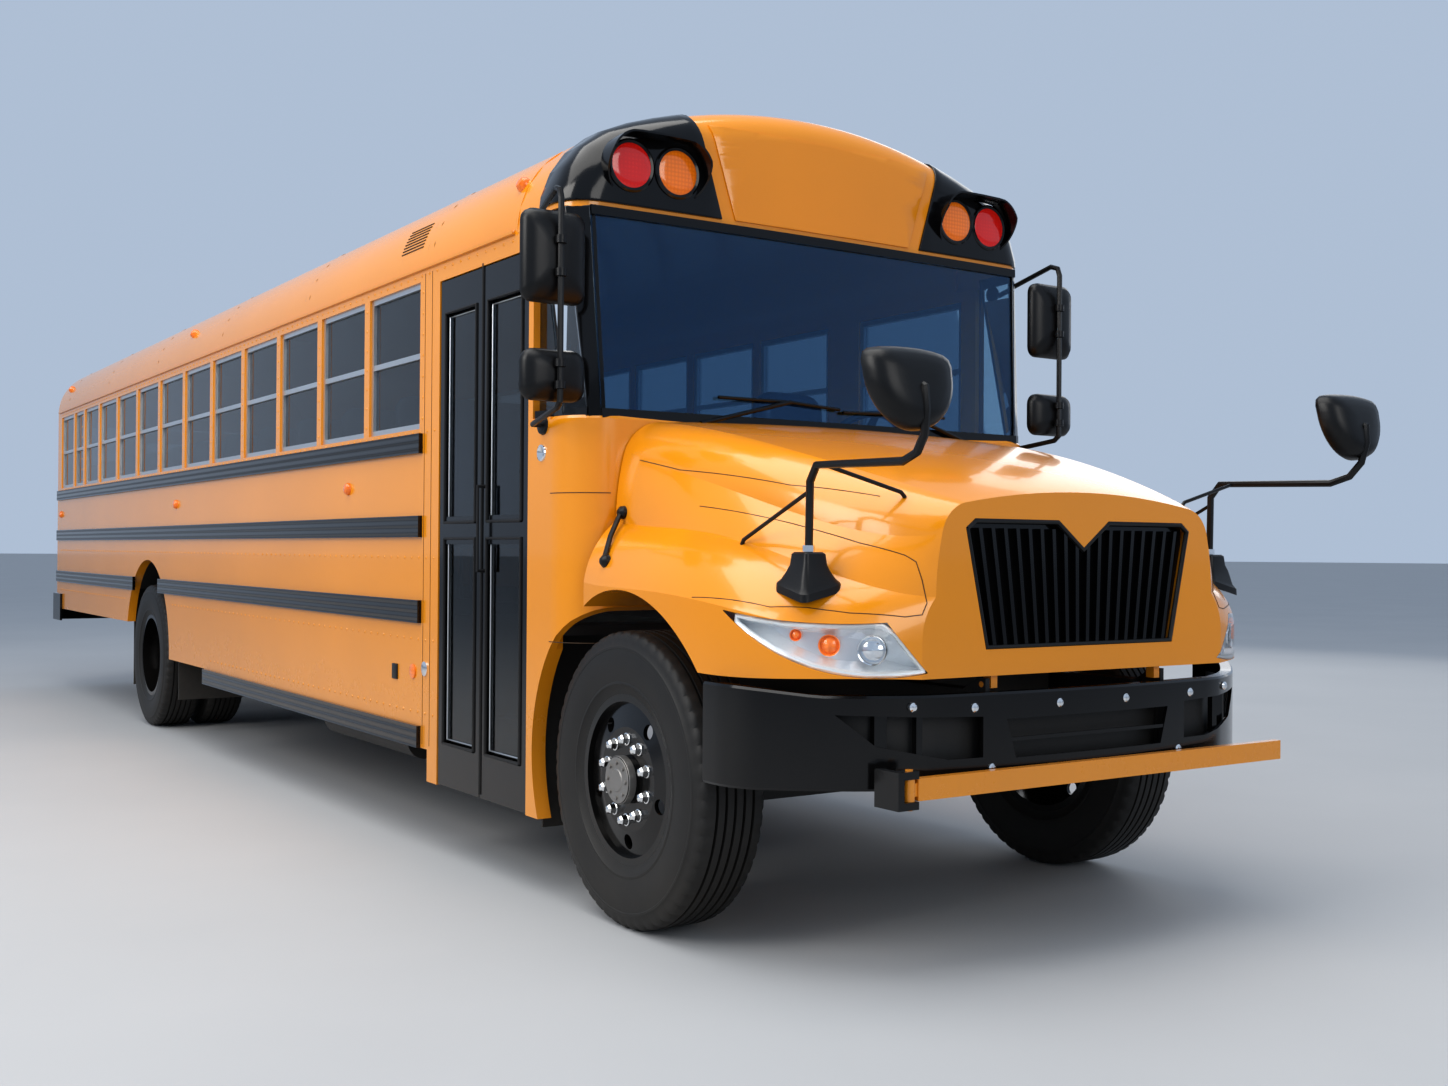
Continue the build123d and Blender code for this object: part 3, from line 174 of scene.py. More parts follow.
unevenness, uneven_in, uneven_out = effect("unevenness",
    [("Height", "NodeSocketFloat"), ("Shade", "NodeSocketFloat")],
    [("Fine", "NodeSocketFloat", 400.0), ("Broad", "NodeSocketFloat", 1.5)])
uneven_place = place_node(unevenness, "TexCoord")
uneven_fine = place_node(unevenness, "TexNoise", Detail=3.0, Roughness=0.6)
uneven_broad = place_node(unevenness, "TexNoise", Detail=4.0, Roughness=0.5)
for texture, source, result in ((uneven_fine, "Fine", "Height"), (uneven_broad, "Broad", "Shade")):
    wire(unevenness, (uneven_place, "Object", texture, "Vector"), (uneven_in, source, texture, "Scale"),
        (texture, "Fac", uneven_out, result))


def finish(name, colour, roughness, metallic=0.0, coat=0.0, fine=400.0, broad=1.5, depth=0.0003,
        film=(0.25, 1.3, 0.5), vary=0.08, specular=0.5):
    """A surface finish: colour that varies a little, road film from below, fine bumps."""
    material, tree, shader = blank(name, Metallic=metallic, Coat_Weight=coat, Coat_Roughness=0.05,
        Specular_IOR_Level=specular)
    uneven = place_node(tree, "Group", node_tree=unevenness, Fine=fine, Broad=broad)
    shades = place_node(tree, "ValToRGB")
    for stop, position, share in zip(shades.color_ramp.elements, (0.3, 0.7), (1 - vary, 1 + vary)):
        stop.position = position
        stop.color = tuple(min(1.0, c * share) for c in colour) + (1,)
    dusty = place_node(tree, "Group", node_tree=road_film, Low=film[0], High=film[1], Amount=film[2])
    tint = place_node(tree, "MixRGB", Color2=DUST_COLOUR)
    dull = place_node(tree, "MapRange", To_Min=roughness, To_Max=0.85)
    bump = place_node(tree, "Bump", Strength=0.6, Distance=depth)
    wire(tree, (uneven, "Shade", shades, "Fac"), (shades, "Color", tint, "Color1"),
        (dusty, "Mask", tint, "Fac"), (dusty, "Mask", dull, "Value"), (tint, "Color", shader, "Base Color"),
        (dull, "Result", shader, "Roughness"), (uneven, "Height", bump, "Height"),
        (bump, "Normal", shader, "Normal"))
    return material


def dress(material, *names):
    """Gives these CAD pieces their finish."""
    for name in names:
        nodes[name].data.materials.clear()
        nodes[name].data.materials.append(material)


yellow = finish("bus_yellow", (0.80, 0.285, 0.006), 0.22, coat=0.5, fine=260.0, broad=0.9, depth=0.0001,
    film=(0.25, 1.2, 0.22), vary=0.04)
dress(yellow, "right_wall", "left_wall", "door_frame", "roof", "rear_wall", "hood", "exit_door",
    "crossing_arm", "roof_hatch_front", "roof_hatch_rear")


# Front cap: the moulded yellow brow over the windshield, rounded at its corners and
# top, bonded to the roof's first bow. A raised blank panel fills its middle.
CAP_LOW = 2.640
CAP_REAR = 0.800
FACE_BACK = 0.350
FACE_BULGE = 0.022
FACE_ROUND = 0.130
FACE_COLUMNS = 14
BODY_HALF = 1.199
RING_POINTS = 41
ROOF_LOW = 2.601


def take(piece):
    """Selects this piece alone and makes it the active one."""
    if bpy.context.mode != "OBJECT":
        bpy.ops.object.mode_set(mode="OBJECT")
    bpy.ops.object.select_all(action="DESELECT")
    piece.select_set(True)
    bpy.context.view_layer.objects.active = piece


def new_piece(points, faces):
    """A mesh object from points and faces, merged and turned outwards.

    The body's bowed, lofted surfaces have no primitive that gives them.
    """
    mesh = bpy.data.meshes.new("part")
    mesh.from_pydata([tuple(point) for point in points], [], faces)
    piece = bpy.data.objects.new("part", mesh)
    bpy.context.scene.collection.objects.link(piece)
    take(piece)
    bpy.ops.object.mode_set(mode="EDIT")
    bpy.ops.mesh.select_all(action="SELECT")
    bpy.ops.mesh.remove_doubles(threshold=0.00002)
    bpy.ops.mesh.normals_make_consistent(inside=False)
    bpy.ops.object.mode_set(mode="OBJECT")
    return piece


def skin(rings, closed=False, ends=False):
    """A surface from ring to ring; each ring closed on itself, or the ends filled, where asked."""
    count = len(rings[0])
    faces = []
    for i in range(len(rings) - 1):
        for j in range(count if closed else count - 1):
            k = (j + 1) % count
            faces.append((i * count + j, i * count + k, (i + 1) * count + k, (i + 1) * count + j))
    if ends:
        faces.append(tuple(range(count)))
        faces.append(tuple(range((len(rings) - 1) * count, len(rings) * count)))
    return new_piece([point for ring in rings for point in ring], faces)


def solid(rings):
    """A closed body from ring to ring, with both its ends filled."""
    return skin(rings, closed=True, ends=True)


def worked(piece, kind, **settings):
    """Applies one modifier to the piece."""
    take(piece)
    modifier = piece.modifiers.new(kind.lower(), kind)
    for label, value in settings.items():
        setattr(modifier, label, value)
    bpy.ops.object.modifier_apply(modifier=modifier.name)


def drawn_out(outline, reach):
    """A block cut to an outline and drawn straight out along reach."""
    piece = new_piece(outline, [tuple(range(len(outline)))])
    bpy.ops.object.mode_set(mode="EDIT")
    bpy.ops.mesh.select_all(action="SELECT")
    bpy.ops.mesh.extrude_region_move(TRANSFORM_OT_translate={"value": tuple(reach)})
    bpy.ops.mesh.select_all(action="SELECT")
    bpy.ops.mesh.normals_make_consistent(inside=False)
    bpy.ops.object.mode_set(mode="OBJECT")
    return piece


def plate(outline, back, depth, side=1):
    """A block whose (x, z) outline faces ahead, drawn out to the rear; side -1 is the right."""
    return drawn_out([at(side * x, back, z) for x, z in outline], (0, depth, 0))


def cut(piece, tool, way="DIFFERENCE"):
    """Cuts the piece with a tool body, or keeps what both share."""
    worked(piece, "BOOLEAN", operation=way, object=tool, solver="EXACT")
    bpy.data.objects.remove(tool)


def complete(piece, name, material, body="chassis", angle=32.0):
    """Ends a piece: name, finish, smooth curves between sharp edges and body."""
    piece.name = name
    piece.data.name = name
    piece.data.materials.clear()
    piece.data.materials.append(material)
    take(piece)
    bpy.ops.object.transform_apply(location=True, rotation=True, scale=True)
    bpy.ops.object.shade_smooth_by_angle(angle=math.radians(angle))
    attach(piece, body)
    return piece


def surface(name, start, aim):
    """Where a ray from start towards aim first meets a CAD piece, and the direction it faces."""
    start = Vector(start)
    found, place, normal, face = nodes[name].ray_cast(start, (Vector(aim) - start).normalized())
    if not found:
        raise ValueError(name + " isn't met from " + str(tuple(start)))
    return place, normal


def face_back(x):
    """How far behind the front axle the cap's bowed face is at a width."""
    return FACE_BACK + FACE_BULGE * (x / BODY_HALF) ** 2


def roof_ring(inset, back):
    """The roof's outline, moved in by inset, at a distance behind the front axle."""
    ring = []
    for i in range(RING_POINTS):
        turn = math.pi * i / (RING_POINTS - 1)
        aim = at(0, CAP_REAR + 0.3, 2.602 + 0.1 * math.sin(turn))
        start = aim + Vector((2.4 * math.cos(turn), 0, 2.4 * math.sin(turn)))
        place, normal = surface("roof", start, aim)
        z = ROOF_LOW if i in (0, RING_POINTS - 1) else max(ROOF_LOW, place.z - inset * normal.z)
        ring.append(at(place.x - inset * normal.x, 0, z) + Vector((0, back, 0)))
    return ring


def cap_surface(grow):
    """Roof outline, rounded front corners and bowed face, grown outwards by a little."""
    rings = [roof_ring(-grow, back) for back in (CAP_REAR, CAP_REAR - 0.12, FACE_BACK + FACE_ROUND + 0.04)]
    for i in range(8):
        turn = math.pi / 2 * i / 7
        inset = FACE_ROUND * (1 - math.cos(turn)) - grow * math.cos(turn)
        ring = roof_ring(inset, FACE_BACK + FACE_ROUND * (1 - math.sin(turn)) - grow * math.sin(turn))
        rings.append([point + Vector((0, FACE_BULGE * (point.x / BODY_HALF) ** 2, 0)) for point in ring])
    points = [point for ring in rings for point in ring]
    faces = []
    for i in range(len(rings) - 1):
        for j in range(RING_POINTS - 1):
            a = i * RING_POINTS + j
            faces.append((a, a + 1, a + 1 + RING_POINTS, a + RING_POINTS))
    edge = rings[-1]
    rows = []
    for i in range(RING_POINTS // 2):
        a, b = edge[i], edge[-1 - i]
        row = []
        for k in range(FACE_COLUMNS + 1):
            x = a.x + (b.x - a.x) * k / FACE_COLUMNS
            row.append(len(points))
            points.append(Vector((x, AXLE_Y + face_back(x) - grow, a.z)))
        rows.append(row)
    for lower, upper in zip(rows, rows[1:]):
        for k in range(FACE_COLUMNS):
            faces.append((lower[k], lower[k + 1], upper[k + 1], upper[k]))
    top = len(points)
    points.append(edge[RING_POINTS // 2])
    for k in range(FACE_COLUMNS):
        faces.append((rows[-1][k], rows[-1][k + 1], top))
    return new_piece(points, faces)


cap = cap_surface(0.0)
worked(cap, "SOLIDIFY", thickness=0.03, offset=-1.0)
cut(cap, plate([(-1.3, 2.5), (1.3, 2.5), (1.3, CAP_LOW), (-1.3, CAP_LOW)], 0.2, 0.44))
complete(cap, "front_cap_shell", yellow)
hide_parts("front_cap")

panel = cap_surface(0.006)
worked(panel, "SOLIDIFY", thickness=0.009, offset=-1.0)
cut(panel, plate([(-0.455, 2.665), (0.455, 2.665), (0.575, 3.035), (-0.575, 3.035)], 0.2, 0.2), "INTERSECT")
worked(panel, "BEVEL", width=0.003, segments=2, limit_method="ANGLE")
complete(panel, "cap_panel", yellow)


# Lamp pods: black moulded shells bonded over both corners of the cap, each with one
# deep visor round two warning lamps, red outside and amber inside.
SIDES = ((-1, "right"), (1, "left"))
LAMP_Z = 2.815
LAMP_R = 0.090
LAMP_XS = {"amber": 0.731, "red": 0.937}
LAMP_MIDDLE = (LAMP_XS["amber"] + LAMP_XS["red"]) / 2
LAMP_SPREAD = (LAMP_XS["red"] - LAMP_XS["amber"]) / 2
TIP = 0.0001
POD_OUTLINE = [(0.519, 2.662), (0.640, 3.062), (0.66, 3.30), (1.35, 3.30), (1.35, 2.662)]
gloss_black = finish("gloss_black", (0.003, 0.003, 0.0035), 0.14, coat=0.2, specular=0.32, fine=300.0,
    depth=0.00015, film=(0.2, 1.0, 0.04), vary=0.2)


def turned(profile, centre, axis, steps=48):
    """A part turned about an axis, from (distance along it, radius); TIP is the middle of an end."""
    along = Vector(axis).normalized()
    side = along.orthogonal().normalized()
    turns = [Matrix.Rotation(2 * math.pi * i / steps, 3, along) @ side for i in range(steps)]
    rings = [[Vector(centre) + along * reach + turn * max(radius, 0.00001) for turn in turns]
        for reach, radius in profile]
    return skin(rings, closed=True)


def lens_finish(name, colour, painted_glint):
    """Moulded lens over a bright reflector: small round cells that glow faintly, painted glints standing
    for daylight caught in the reflector.
    """
    material = finish(name, colour, 0.12, coat=0.6, fine=200.0, film=(0.2, 2.0, 0.05), vary=0.05)
    tree = material.node_tree
    # The faint emission in the cell pattern is painted daylight glinting in the reflector, not a lit lamp.
    shader = settle(tree.nodes["Principled BSDF"], Emission_Strength=0.2)
    place = place_node(tree, "TexCoord")
    cells = place_node(tree, "TexVoronoi", Scale=62.0, Randomness=0.0)
    spread = place_node(tree, "ValToRGB")
    for stop, position, share in zip(spread.color_ramp.elements, (0.1, 0.55), (1.0, 0.25)):
        stop.position = position
        stop.color = tuple(c * share for c in painted_glint) + (1,)
    wire(tree, (place, "Object", cells, "Vector"), (cells, "Distance", spread, "Fac"),
        (spread, "Color", shader, "Emission Color"))
    return material


def visor_ring(side, reach, wall):
    """One ring of a pod's visor round both lamps; deepest above them."""
    ring = []
    for i in range(48):
        turn = 2 * math.pi * i / 48
        r = LAMP_R + 0.032 - wall
        spread = LAMP_SPREAD if math.cos(turn) > 0 else -LAMP_SPREAD
        x = LAMP_MIDDLE + spread * min(1.0, abs(math.cos(turn)) * 6) + r * math.cos(turn)
        depth = 0.012 + 0.078 * max(0.0, min(1.0, (math.sin(turn) + 0.75) / 1.1))
        ring.append(at(side * x, face_back(x) + 0.004 - reach * depth, LAMP_Z + r * math.sin(turn)))
    return ring


lens_finishes = {"red": lens_finish("red_lens", (0.62, 0.010, 0.008), (1.0, 0.04, 0.02)),
    "amber": lens_finish("amber_lens", (0.78, 0.17, 0.006), (1.0, 0.30, 0.02))}
for side, hand in SIDES:
    pod = cap_surface(0.009)
    worked(pod, "SOLIDIFY", thickness=0.012, offset=-1.0)
    cut(pod, plate(POD_OUTLINE, 0.2, 0.41, side), "INTERSECT")
    worked(pod, "BEVEL", width=0.003, segments=2, limit_method="ANGLE", angle_limit=math.radians(50))
    bore = LAMP_R + 0.012
    for x in LAMP_XS.values():
        cut(pod, turned([(-0.2, 0), (-0.2, bore), (0.2, bore), (0.2, 0)], at(side * x, FACE_BACK, LAMP_Z),
            (0, 1, 0)))
    complete(pod, "lamp_pod_" + hand, gloss_black)
    visor = [visor_ring(side, reach, wall) for reach, wall in ((0, 0), (1, 0), (1, 0.008), (0, 0.008),
        (0, 0))]
    complete(skin(visor, closed=True), "lamp_visor_" + hand, gloss_black, angle=50)
    for colour, x in LAMP_XS.items():
        centre = at(side * x, face_back(x), LAMP_Z)
        bowl = turned([(0.012, 0), (0.010, LAMP_R - 0.002), (-0.012, LAMP_R - 0.002),
            (-0.016, LAMP_R - 0.012), (-0.019, LAMP_R * 0.6), (-0.021, 0)], centre, (0, 1, 0))
        complete(bowl, "warning_lamp_" + colour + "_" + hand, lens_finishes[colour])
        if colour == "red" and side < 0:
            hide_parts("signal_lamps")
        gasket = turned([(0.012, LAMP_R - 0.004), (0.012, LAMP_R + 0.013), (-0.012, LAMP_R + 0.013),
            (-0.017, LAMP_R + 0.006), (-0.014, LAMP_R - 0.004), (0.012, LAMP_R - 0.004)], centre, (0, 1, 0))
        complete(gasket, "lamp_gasket_" + colour + "_" + hand, gloss_black)


# Windshield: one large bowed pane of tinted safety glass, held in a black rubber and
# metal surround between two slanting corner posts, with a small pane behind each.
GLASS_LOW = 1.850
GLASS_FRONT = 0.302
GLASS_LEAN = 0.045
GLASS_BULGE = 0.022
GLASS_HALF = 1.080
GLASS_COLUMNS = 16
POST_LOW = GLASS_LOW - 0.012
POST_HIGH = CAP_LOW + 0.004
POST_ENDS = (
    # height, inner edge across, its place behind the axle, width, how far the outer edge lies back
    (POST_LOW, 1.062, 0.322, 0.060, 0.030),
    (POST_HIGH, 1.092, 0.367, 0.090, 0.078),
)
CORNER_PANE_ENDS = (
    # height, front edge across and behind the axle, rear edge across and behind the axle
    (POST_LOW, 1.118, 0.344, 1.165, 0.462),
    (POST_HIGH, 1.162, 0.432, 1.168, 0.652),
)


def pane(name, colour, through):
    """Tinted safety glass: clear to light that only passes on its way, glossy to the eye."""
    material, tree, shader = blank(name, Base_Color=colour + (1,), Roughness=0.02, Transmission_Weight=1.0,
        IOR=1.45)
    clear = place_node(tree, "BsdfTransparent", Color=tuple(through + (1 - through) * c
        for c in colour) + (1,))
    path = place_node(tree, "LightPath")
    mix = place_node(tree, "MixShader")
    wire(tree, (path, "Is Shadow Ray", mix, "Fac"), (shader, "BSDF", mix, 1), (clear, "BSDF", mix, 2),
        (mix, "Shader", tree.nodes["Material Output"], "Surface"))
    return material


def pane_row(z, proud):
    """Points across the windshield at a height, moved ahead by proud."""
    share = (z - GLASS_LOW) / (CAP_LOW - GLASS_LOW)
    half = GLASS_HALF + 0.030 * share
    row = []
    for i in range(GLASS_COLUMNS + 1):
        x = half * (2 * i / GLASS_COLUMNS - 1)
        row.append(at(x, GLASS_FRONT + GLASS_LEAN * share + GLASS_BULGE * (x / half) ** 2 - proud, z))
    return row


windshield_glass = pane("windshield_glass", (0.30, 0.50, 0.72), through=0.6)
# The blue specular tint colours the glass's reflections: a painted sky reflection.
settle(windshield_glass.node_tree.nodes["Principled BSDF"], IOR=1.7, Specular_Tint=(0.30, 0.58, 1.0, 1))
side_pane = pane("side_glass", (0.20, 0.23, 0.25), through=0.35)
dress(side_pane, "side_glass", "entrance_glass_front", "entrance_glass_rear", "exit_glass")

shield = skin([pane_row(GLASS_LOW + (CAP_LOW - GLASS_LOW) * k / 4, 0) for k in range(5)])
worked(shield, "SOLIDIFY", thickness=0.008, offset=0.0)
complete(shield, "windshield_pane", windshield_glass, angle=60)
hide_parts("windshield")
for low, high, label in ((POST_LOW, GLASS_LOW + 0.024, "low"), (CAP_LOW - 0.032, POST_HIGH, "high")):
    strip = skin([pane_row(z, proud) for z, proud in ((low, 0.004), (low, 0.014), (high, 0.014),
        (high, 0.004), (low, 0.004))])
    complete(strip, "windshield_surround_" + label, gloss_black, angle=50)
for side, hand in SIDES:
    rings = []
    for z, x, back, wide, deep in POST_ENDS:
        rings.append([at(side * x, back - 0.012, z), at(side * (x + wide), back - 0.012 + deep, z),
            at(side * (x + wide - 0.012), back + 0.022 + deep, z), at(side * x, back + 0.018, z)])
    post = solid(rings)
    worked(post, "BEVEL", width=0.005, segments=3, limit_method="ANGLE")
    complete(post, "corner_post_" + hand, gloss_black)
    rings = []
    for z, x, back, rear_x, rear in CORNER_PANE_ENDS:
        rings.append([at(side * x, back, z), at(side * rear_x, rear, z),
            at(side * (rear_x - 0.006), rear, z), at(side * (x - 0.006), back + 0.006, z)])
    corner_pane = solid(rings)
    complete(corner_pane, "corner_pane_" + hand, side_pane)
    trims = ((1.12, 0.347, GLASS_LOW + 0.008), (1.17, 0.437, CAP_LOW - 0.016))
    for k, (front_x, front, z) in enumerate(trims):
        strip = new_piece([at(side * front_x, front, z - 0.020), at(side * front_x, front, z + 0.020),
            at(side * 1.190, 0.64, z + 0.020), at(side * 1.190, 0.64, z - 0.020)], [(0, 1, 2, 3)])
        worked(strip, "SOLIDIFY", thickness=0.014, offset=0.0)
        complete(strip, "corner_trim_%s_%d" % (hand, k), gloss_black)


# Wipers: two black painted steel arms on pivots under the glass, each with a long
# rubber blade, both parked low on the pane.
WIPERS = (
    # name, pivot, elbow, blade's two tips, as (x, z) on the glass
    ("near", (-0.660, 1.835), (-0.226, 1.945), (-0.569, 1.945), (0.032, 1.930)),
    ("far", (0.706, 1.835), (0.400, 1.930), (0.050, 1.920), (0.620, 1.928)),
)


def tube(route, radius, round_over=2, caps=True):
    """A round bar or pipe along a route."""
    line = bpy.data.curves.new("part", "CURVE")
    line.dimensions = "3D"
    line.bevel_depth = radius
    line.bevel_resolution = round_over
    line.use_fill_caps = caps
    spline = line.splines.new("POLY")
    spline.points.add(len(route) - 1)
    for point, place in zip(spline.points, route):
        point.co = tuple(place) + (1,)
    piece = bpy.data.objects.new("part", line)
    bpy.context.scene.collection.objects.link(piece)
    take(piece)
    bpy.ops.object.convert(target="MESH")
    return bpy.context.object


def on_glass(place, proud):
    """An (x, z) place on the windshield, moved ahead by proud."""
    share = (place[1] - GLASS_LOW) / (CAP_LOW - GLASS_LOW)
    back = GLASS_FRONT + GLASS_LEAN * share + GLASS_BULGE * (place[0] / 1.09) ** 2 - proud
    return at(place[0], back, place[1])


for label, pivot, elbow, tip_a, tip_b in WIPERS:
    for part, route, radius in (("arm", (on_glass(pivot, 0.035), on_glass(elbow, 0.032)), 0.009),
            ("blade", (on_glass(tip_a, 0.020), on_glass(elbow, 0.024), on_glass(tip_b, 0.020)), 0.007)):
        complete(tube(route, radius, caps=False), "wiper_%s_%s" % (part, label), gloss_black)


# Cowl: the yellow sheet-steel box behind the hood, welded up, with rounded front
# corners, cut away over the front wheels; it carries the windshield and the posts.
COWL_LOW = 0.900
COWL_TOP = 1.848
COWL_REAR = 0.500
COWL_WALL = 0.030
CORNER_R = 0.189
ARCH_R = 0.640
ARCH_Z = 0.560


def cowl_outline(inset, z, rear=COWL_REAR):
    """Plan of the cowl at a height, moved in by inset, open towards the rear."""
    corner = [(math.cos(math.pi / 2 * i / 8), math.sin(math.pi / 2 * i / 8)) for i in range(9)]
    x, back, radius = BODY_HALF - CORNER_R, 0.485, CORNER_R - inset
    ring = [at(-BODY_HALF + inset, rear, z)]
    ring += [at(-x - radius * c, back - radius * s, z) for c, s in corner]
    ring += [at(x + radius * c, back - radius * s, z) for c, s in corner[::-1]]
    return ring + [at(BODY_HALF - inset, rear, z)]


def joined(pieces):
    """Several meshes as one piece."""
    take(pieces[0])
    for piece in pieces[1:]:
        piece.select_set(True)
    if len(pieces) > 1:
        bpy.ops.object.join()
    return pieces[0]


cowl = solid([cowl_outline(0, COWL_LOW), cowl_outline(0, COWL_TOP - 0.012), cowl_outline(0.012, COWL_TOP)])
cut(cowl, solid([cowl_outline(COWL_WALL, COWL_LOW - 0.020, COWL_REAR + 0.020),
    cowl_outline(COWL_WALL, COWL_TOP - COWL_WALL, COWL_REAR + 0.020)]))
cut(cowl, drawn_out([at(x, s, 1.80) for x, s in ((-1.05, 0.350), (1.05, 0.350), (1.14, 0.52),
    (-1.14, 0.52))], (0, 0, 0.1)))
for side in (-1, 1):
    cut(cowl, turned([(0, 0), (0, ARCH_R), (0.6, ARCH_R), (0.6, 0)], at(side * 0.62, 0, ARCH_Z),
        (side, 0, 0)))
complete(cowl, "cowl_shell", yellow)
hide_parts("cowl")

# Dark brown for the panel joints; the same colour is painted shade along the hood crease and in the roof
# vent slots.
seam_and_shade_dark = finish("seam_and_shade_dark", (0.05, 0.022, 0.004), 0.7, fine=500.0, film=(0.2, 1.2, 0.1), vary=0.2)
chrome = finish("chrome", (0.86, 0.87, 0.88), 0.07, metallic=1.0, fine=900.0, depth=0.00005,
    film=(0.2, 2.0, 0.12), vary=0.03)
for side, hand in SIDES:
    lamp = turned([(0, TIP), (0.003, 0.014), (0.008, 0.026), (0.006, 0.032), (0, 0.034), (-0.003, 0.034),
        (-0.003, TIP)], at(side * BODY_HALF, 0.571, 1.712), (side, 0, 0))
    complete(lamp, "cowl_lamp_" + hand, chrome)
    seams = []
    for z in (1.555, 0.990):
        outline = cowl_outline(-0.0002, z, COWL_REAR - 0.002)
        seams.append(tube(outline[:9] if side < 0 else outline[10:], 0.0018, 1))
    complete(joined(seams), "cowl_seams_" + hand, seam_and_shade_dark)


# Front bumper: one long channel pressed from thick steel plate, bowed back at both
# ends, with three openings, bolted through brackets to the frame rails.
BUMPER_LOW = 0.600
BUMPER_TOP = 0.895
BUMPER_HALF = 1.205
BUMPER_FRONT = -1.132
BUMPER_WALL = 0.012
CENTRE_OPENING = [(-0.389, 0.808), (0.389, 0.808), (0.350, 0.682), (-0.350, 0.682)]
SIDE_OPENING = [(0.485, 0.691), (0.485, 0.820), (0.960, 0.836), (0.850, 0.738), (0.620, 0.691)]
BUMPER_BOLTS = ((0.520, 0.850, -1.109), (0.750, 0.860, -1.078), (1.015, 0.655, -0.900),
    (0.450, 0.655, -1.115), (0.160, 0.850, -1.130))
chassis_black = finish("chassis_black", (0.014, 0.014, 0.014), 0.5, specular=0.35, fine=90.0,
    film=(0.1, 1.1, 0.15), vary=0.3)


def bumper_line(inset):
    """Plan of the bumper's face, from its right rear end round to its left one."""
    def wing(t, bow):
        return BUMPER_HALF - 0.505 * t + 0.5684 * bow, -0.740 - 0.349 * t - 0.8225 * bow

    half = [(BUMPER_HALF - inset, -0.585)]
    end = wing(0.17, 0.0209)
    for i in range(7):
        t = i / 6
        x = (1 - t) ** 2 * BUMPER_HALF + 2 * t * (1 - t) * 1.200 + t ** 2 * end[0]
        back = (1 - t) ** 2 * -0.650 + 2 * t * (1 - t) * -0.752 + t ** 2 * end[1]
        half.append((x - inset * math.cos(t * 0.9), back + inset * math.sin(t * 0.9)))
    for i in range(1, 12):
        t = 0.17 + 0.83 * i / 11
        half.append(wing(t, 0.037 * 4 * t * (1 - t) - inset))
    for i in range(1, 10):
        x = 0.700 * (1 - i / 9)
        half.append((x, BUMPER_FRONT + 0.043 * (x / 0.700) ** 2 + inset))
    return [(-x, back) for x, back in half] + list(reversed(half[:-1]))


def bar_block(x_low, x_high, z_low, z_high):
    """Outline of an upright rectangle."""
    return [(x_low, z_low), (x_high, z_low), (x_high, z_high), (x_low, z_high)]


rings = []
plans = [bumper_line(inset) for inset in (0.0, BUMPER_WALL, 0.055, 0.045)]
for (ox, ob), (ix, ib), (lx, lb), (tx, tb) in zip(*plans):
    top = BUMPER_TOP + 0.028 * max(0.0, (abs(ox) - 1.0) / 0.205)
    mx, mb = (ox + ix) / 2, (ob + ib) / 2
    rings.append([at(lx, lb, BUMPER_LOW), at(mx, mb, BUMPER_LOW), at(ox, ob, BUMPER_LOW + 0.008),
        at(ox, ob, top - 0.008), at(mx, mb, top), at(tx, tb, top), at(tx, tb, top - 0.010),
        at(ix, ib, top - 0.010), at(ix, ib, BUMPER_LOW + BUMPER_WALL),
        at(lx, lb, BUMPER_LOW + BUMPER_WALL)])
bumper = solid(rings)
cut(bumper, plate(CENTRE_OPENING, -1.25, 0.25))
for side in (-1, 1):
    cut(bumper, plate(SIDE_OPENING, -1.25, 0.5, side))
complete(bumper, "front_bumper_plate", gloss_black)
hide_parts("front_bumper")
backing = skin([[at(x, back, z) for z in (0.660, 0.870)] for x, back in bumper_line(0.060)[3:-3]])
worked(backing, "SOLIDIFY", thickness=0.006, offset=0.0)
complete(backing, "bumper_backing", chassis_black)
complete(plate(bar_block(-0.39, 0.39, 0.735, 0.747), -1.118, 0.012), "bumper_bar", gloss_black)
bolts, brackets, lamps = [], [], []
for x, z, back in BUMPER_BOLTS:
    for side in (-1, 1):
        bolts.append(turned([(0.006, TIP), (0.005, 0.010), (0.0, 0.015), (-0.012, 0.015), (-0.012, TIP)],
            at(side * x, back - 0.002, z), (side * max(0.0, x - 0.70) * 1.4, -1, 0), steps=16))
for side in (-1, 1):
    brackets.append(plate(bar_block(0.385, 0.432, 0.670, 0.830), -1.075, 0.12, side))
    lamps.append(turned([(-0.030, TIP), (-0.026, 0.030), (-0.004, 0.046), (0.006, 0.050), (0.004, 0.056),
        (-0.03, 0.056), (-0.04, TIP)], at(side * 0.620, -1.030, 0.765), (side * 0.1, -1, 0)))
    lamps.append(plate(bar_block(0.700, 0.725, 0.60, 0.88), -1.065, 0.02, side))
    lamps.append(plate(bar_block(0.790, 0.840, 0.60, 0.88), -1.000, 0.02, side))
complete(joined(bolts), "bumper_bolts", chrome)
complete(joined(brackets), "bumper_brackets", chassis_black)
complete(joined(lamps), "bumper_lamps", gloss_black)


# Body mirrors: on each side a bent black tube from the roof's corner carries two
# moulded heads, a tall flat glass above and a low one below, held by clamps.
MIRROR_X = 1.290
MIRROR_TUBE = ((1.199, 0.600, 2.575), (1.244, 0.600, 2.575), (1.285, 0.300, 2.668),
    (MIRROR_X, 0.262, 2.655), (MIRROR_X, 0.250, 2.620), (MIRROR_X, 0.250, 1.880), (1.288, 0.275, 1.860),
    (1.244, 0.560, 1.820), (1.199, 0.560, 1.820))
MIRROR_HEADS = (
    # name, width, height, middle's height over the road, corner radius
    ("tall", 0.258, 0.340, 2.415, 0.045),
    ("low", 0.258, 0.190, 1.980, 0.050),
)
HEAD_DEPTHS = ((0.322, 0.985), (0.326, 1.0), (0.306, 1.0), (0.286, 0.90), (0.270, 0.62), (0.264, 0.30))
moulded = finish("moulded_black", (0.006, 0.006, 0.0065), 0.34, specular=0.35, fine=900.0, depth=0.0003,
    film=(0.2, 1.4, 0.08), vary=0.15)
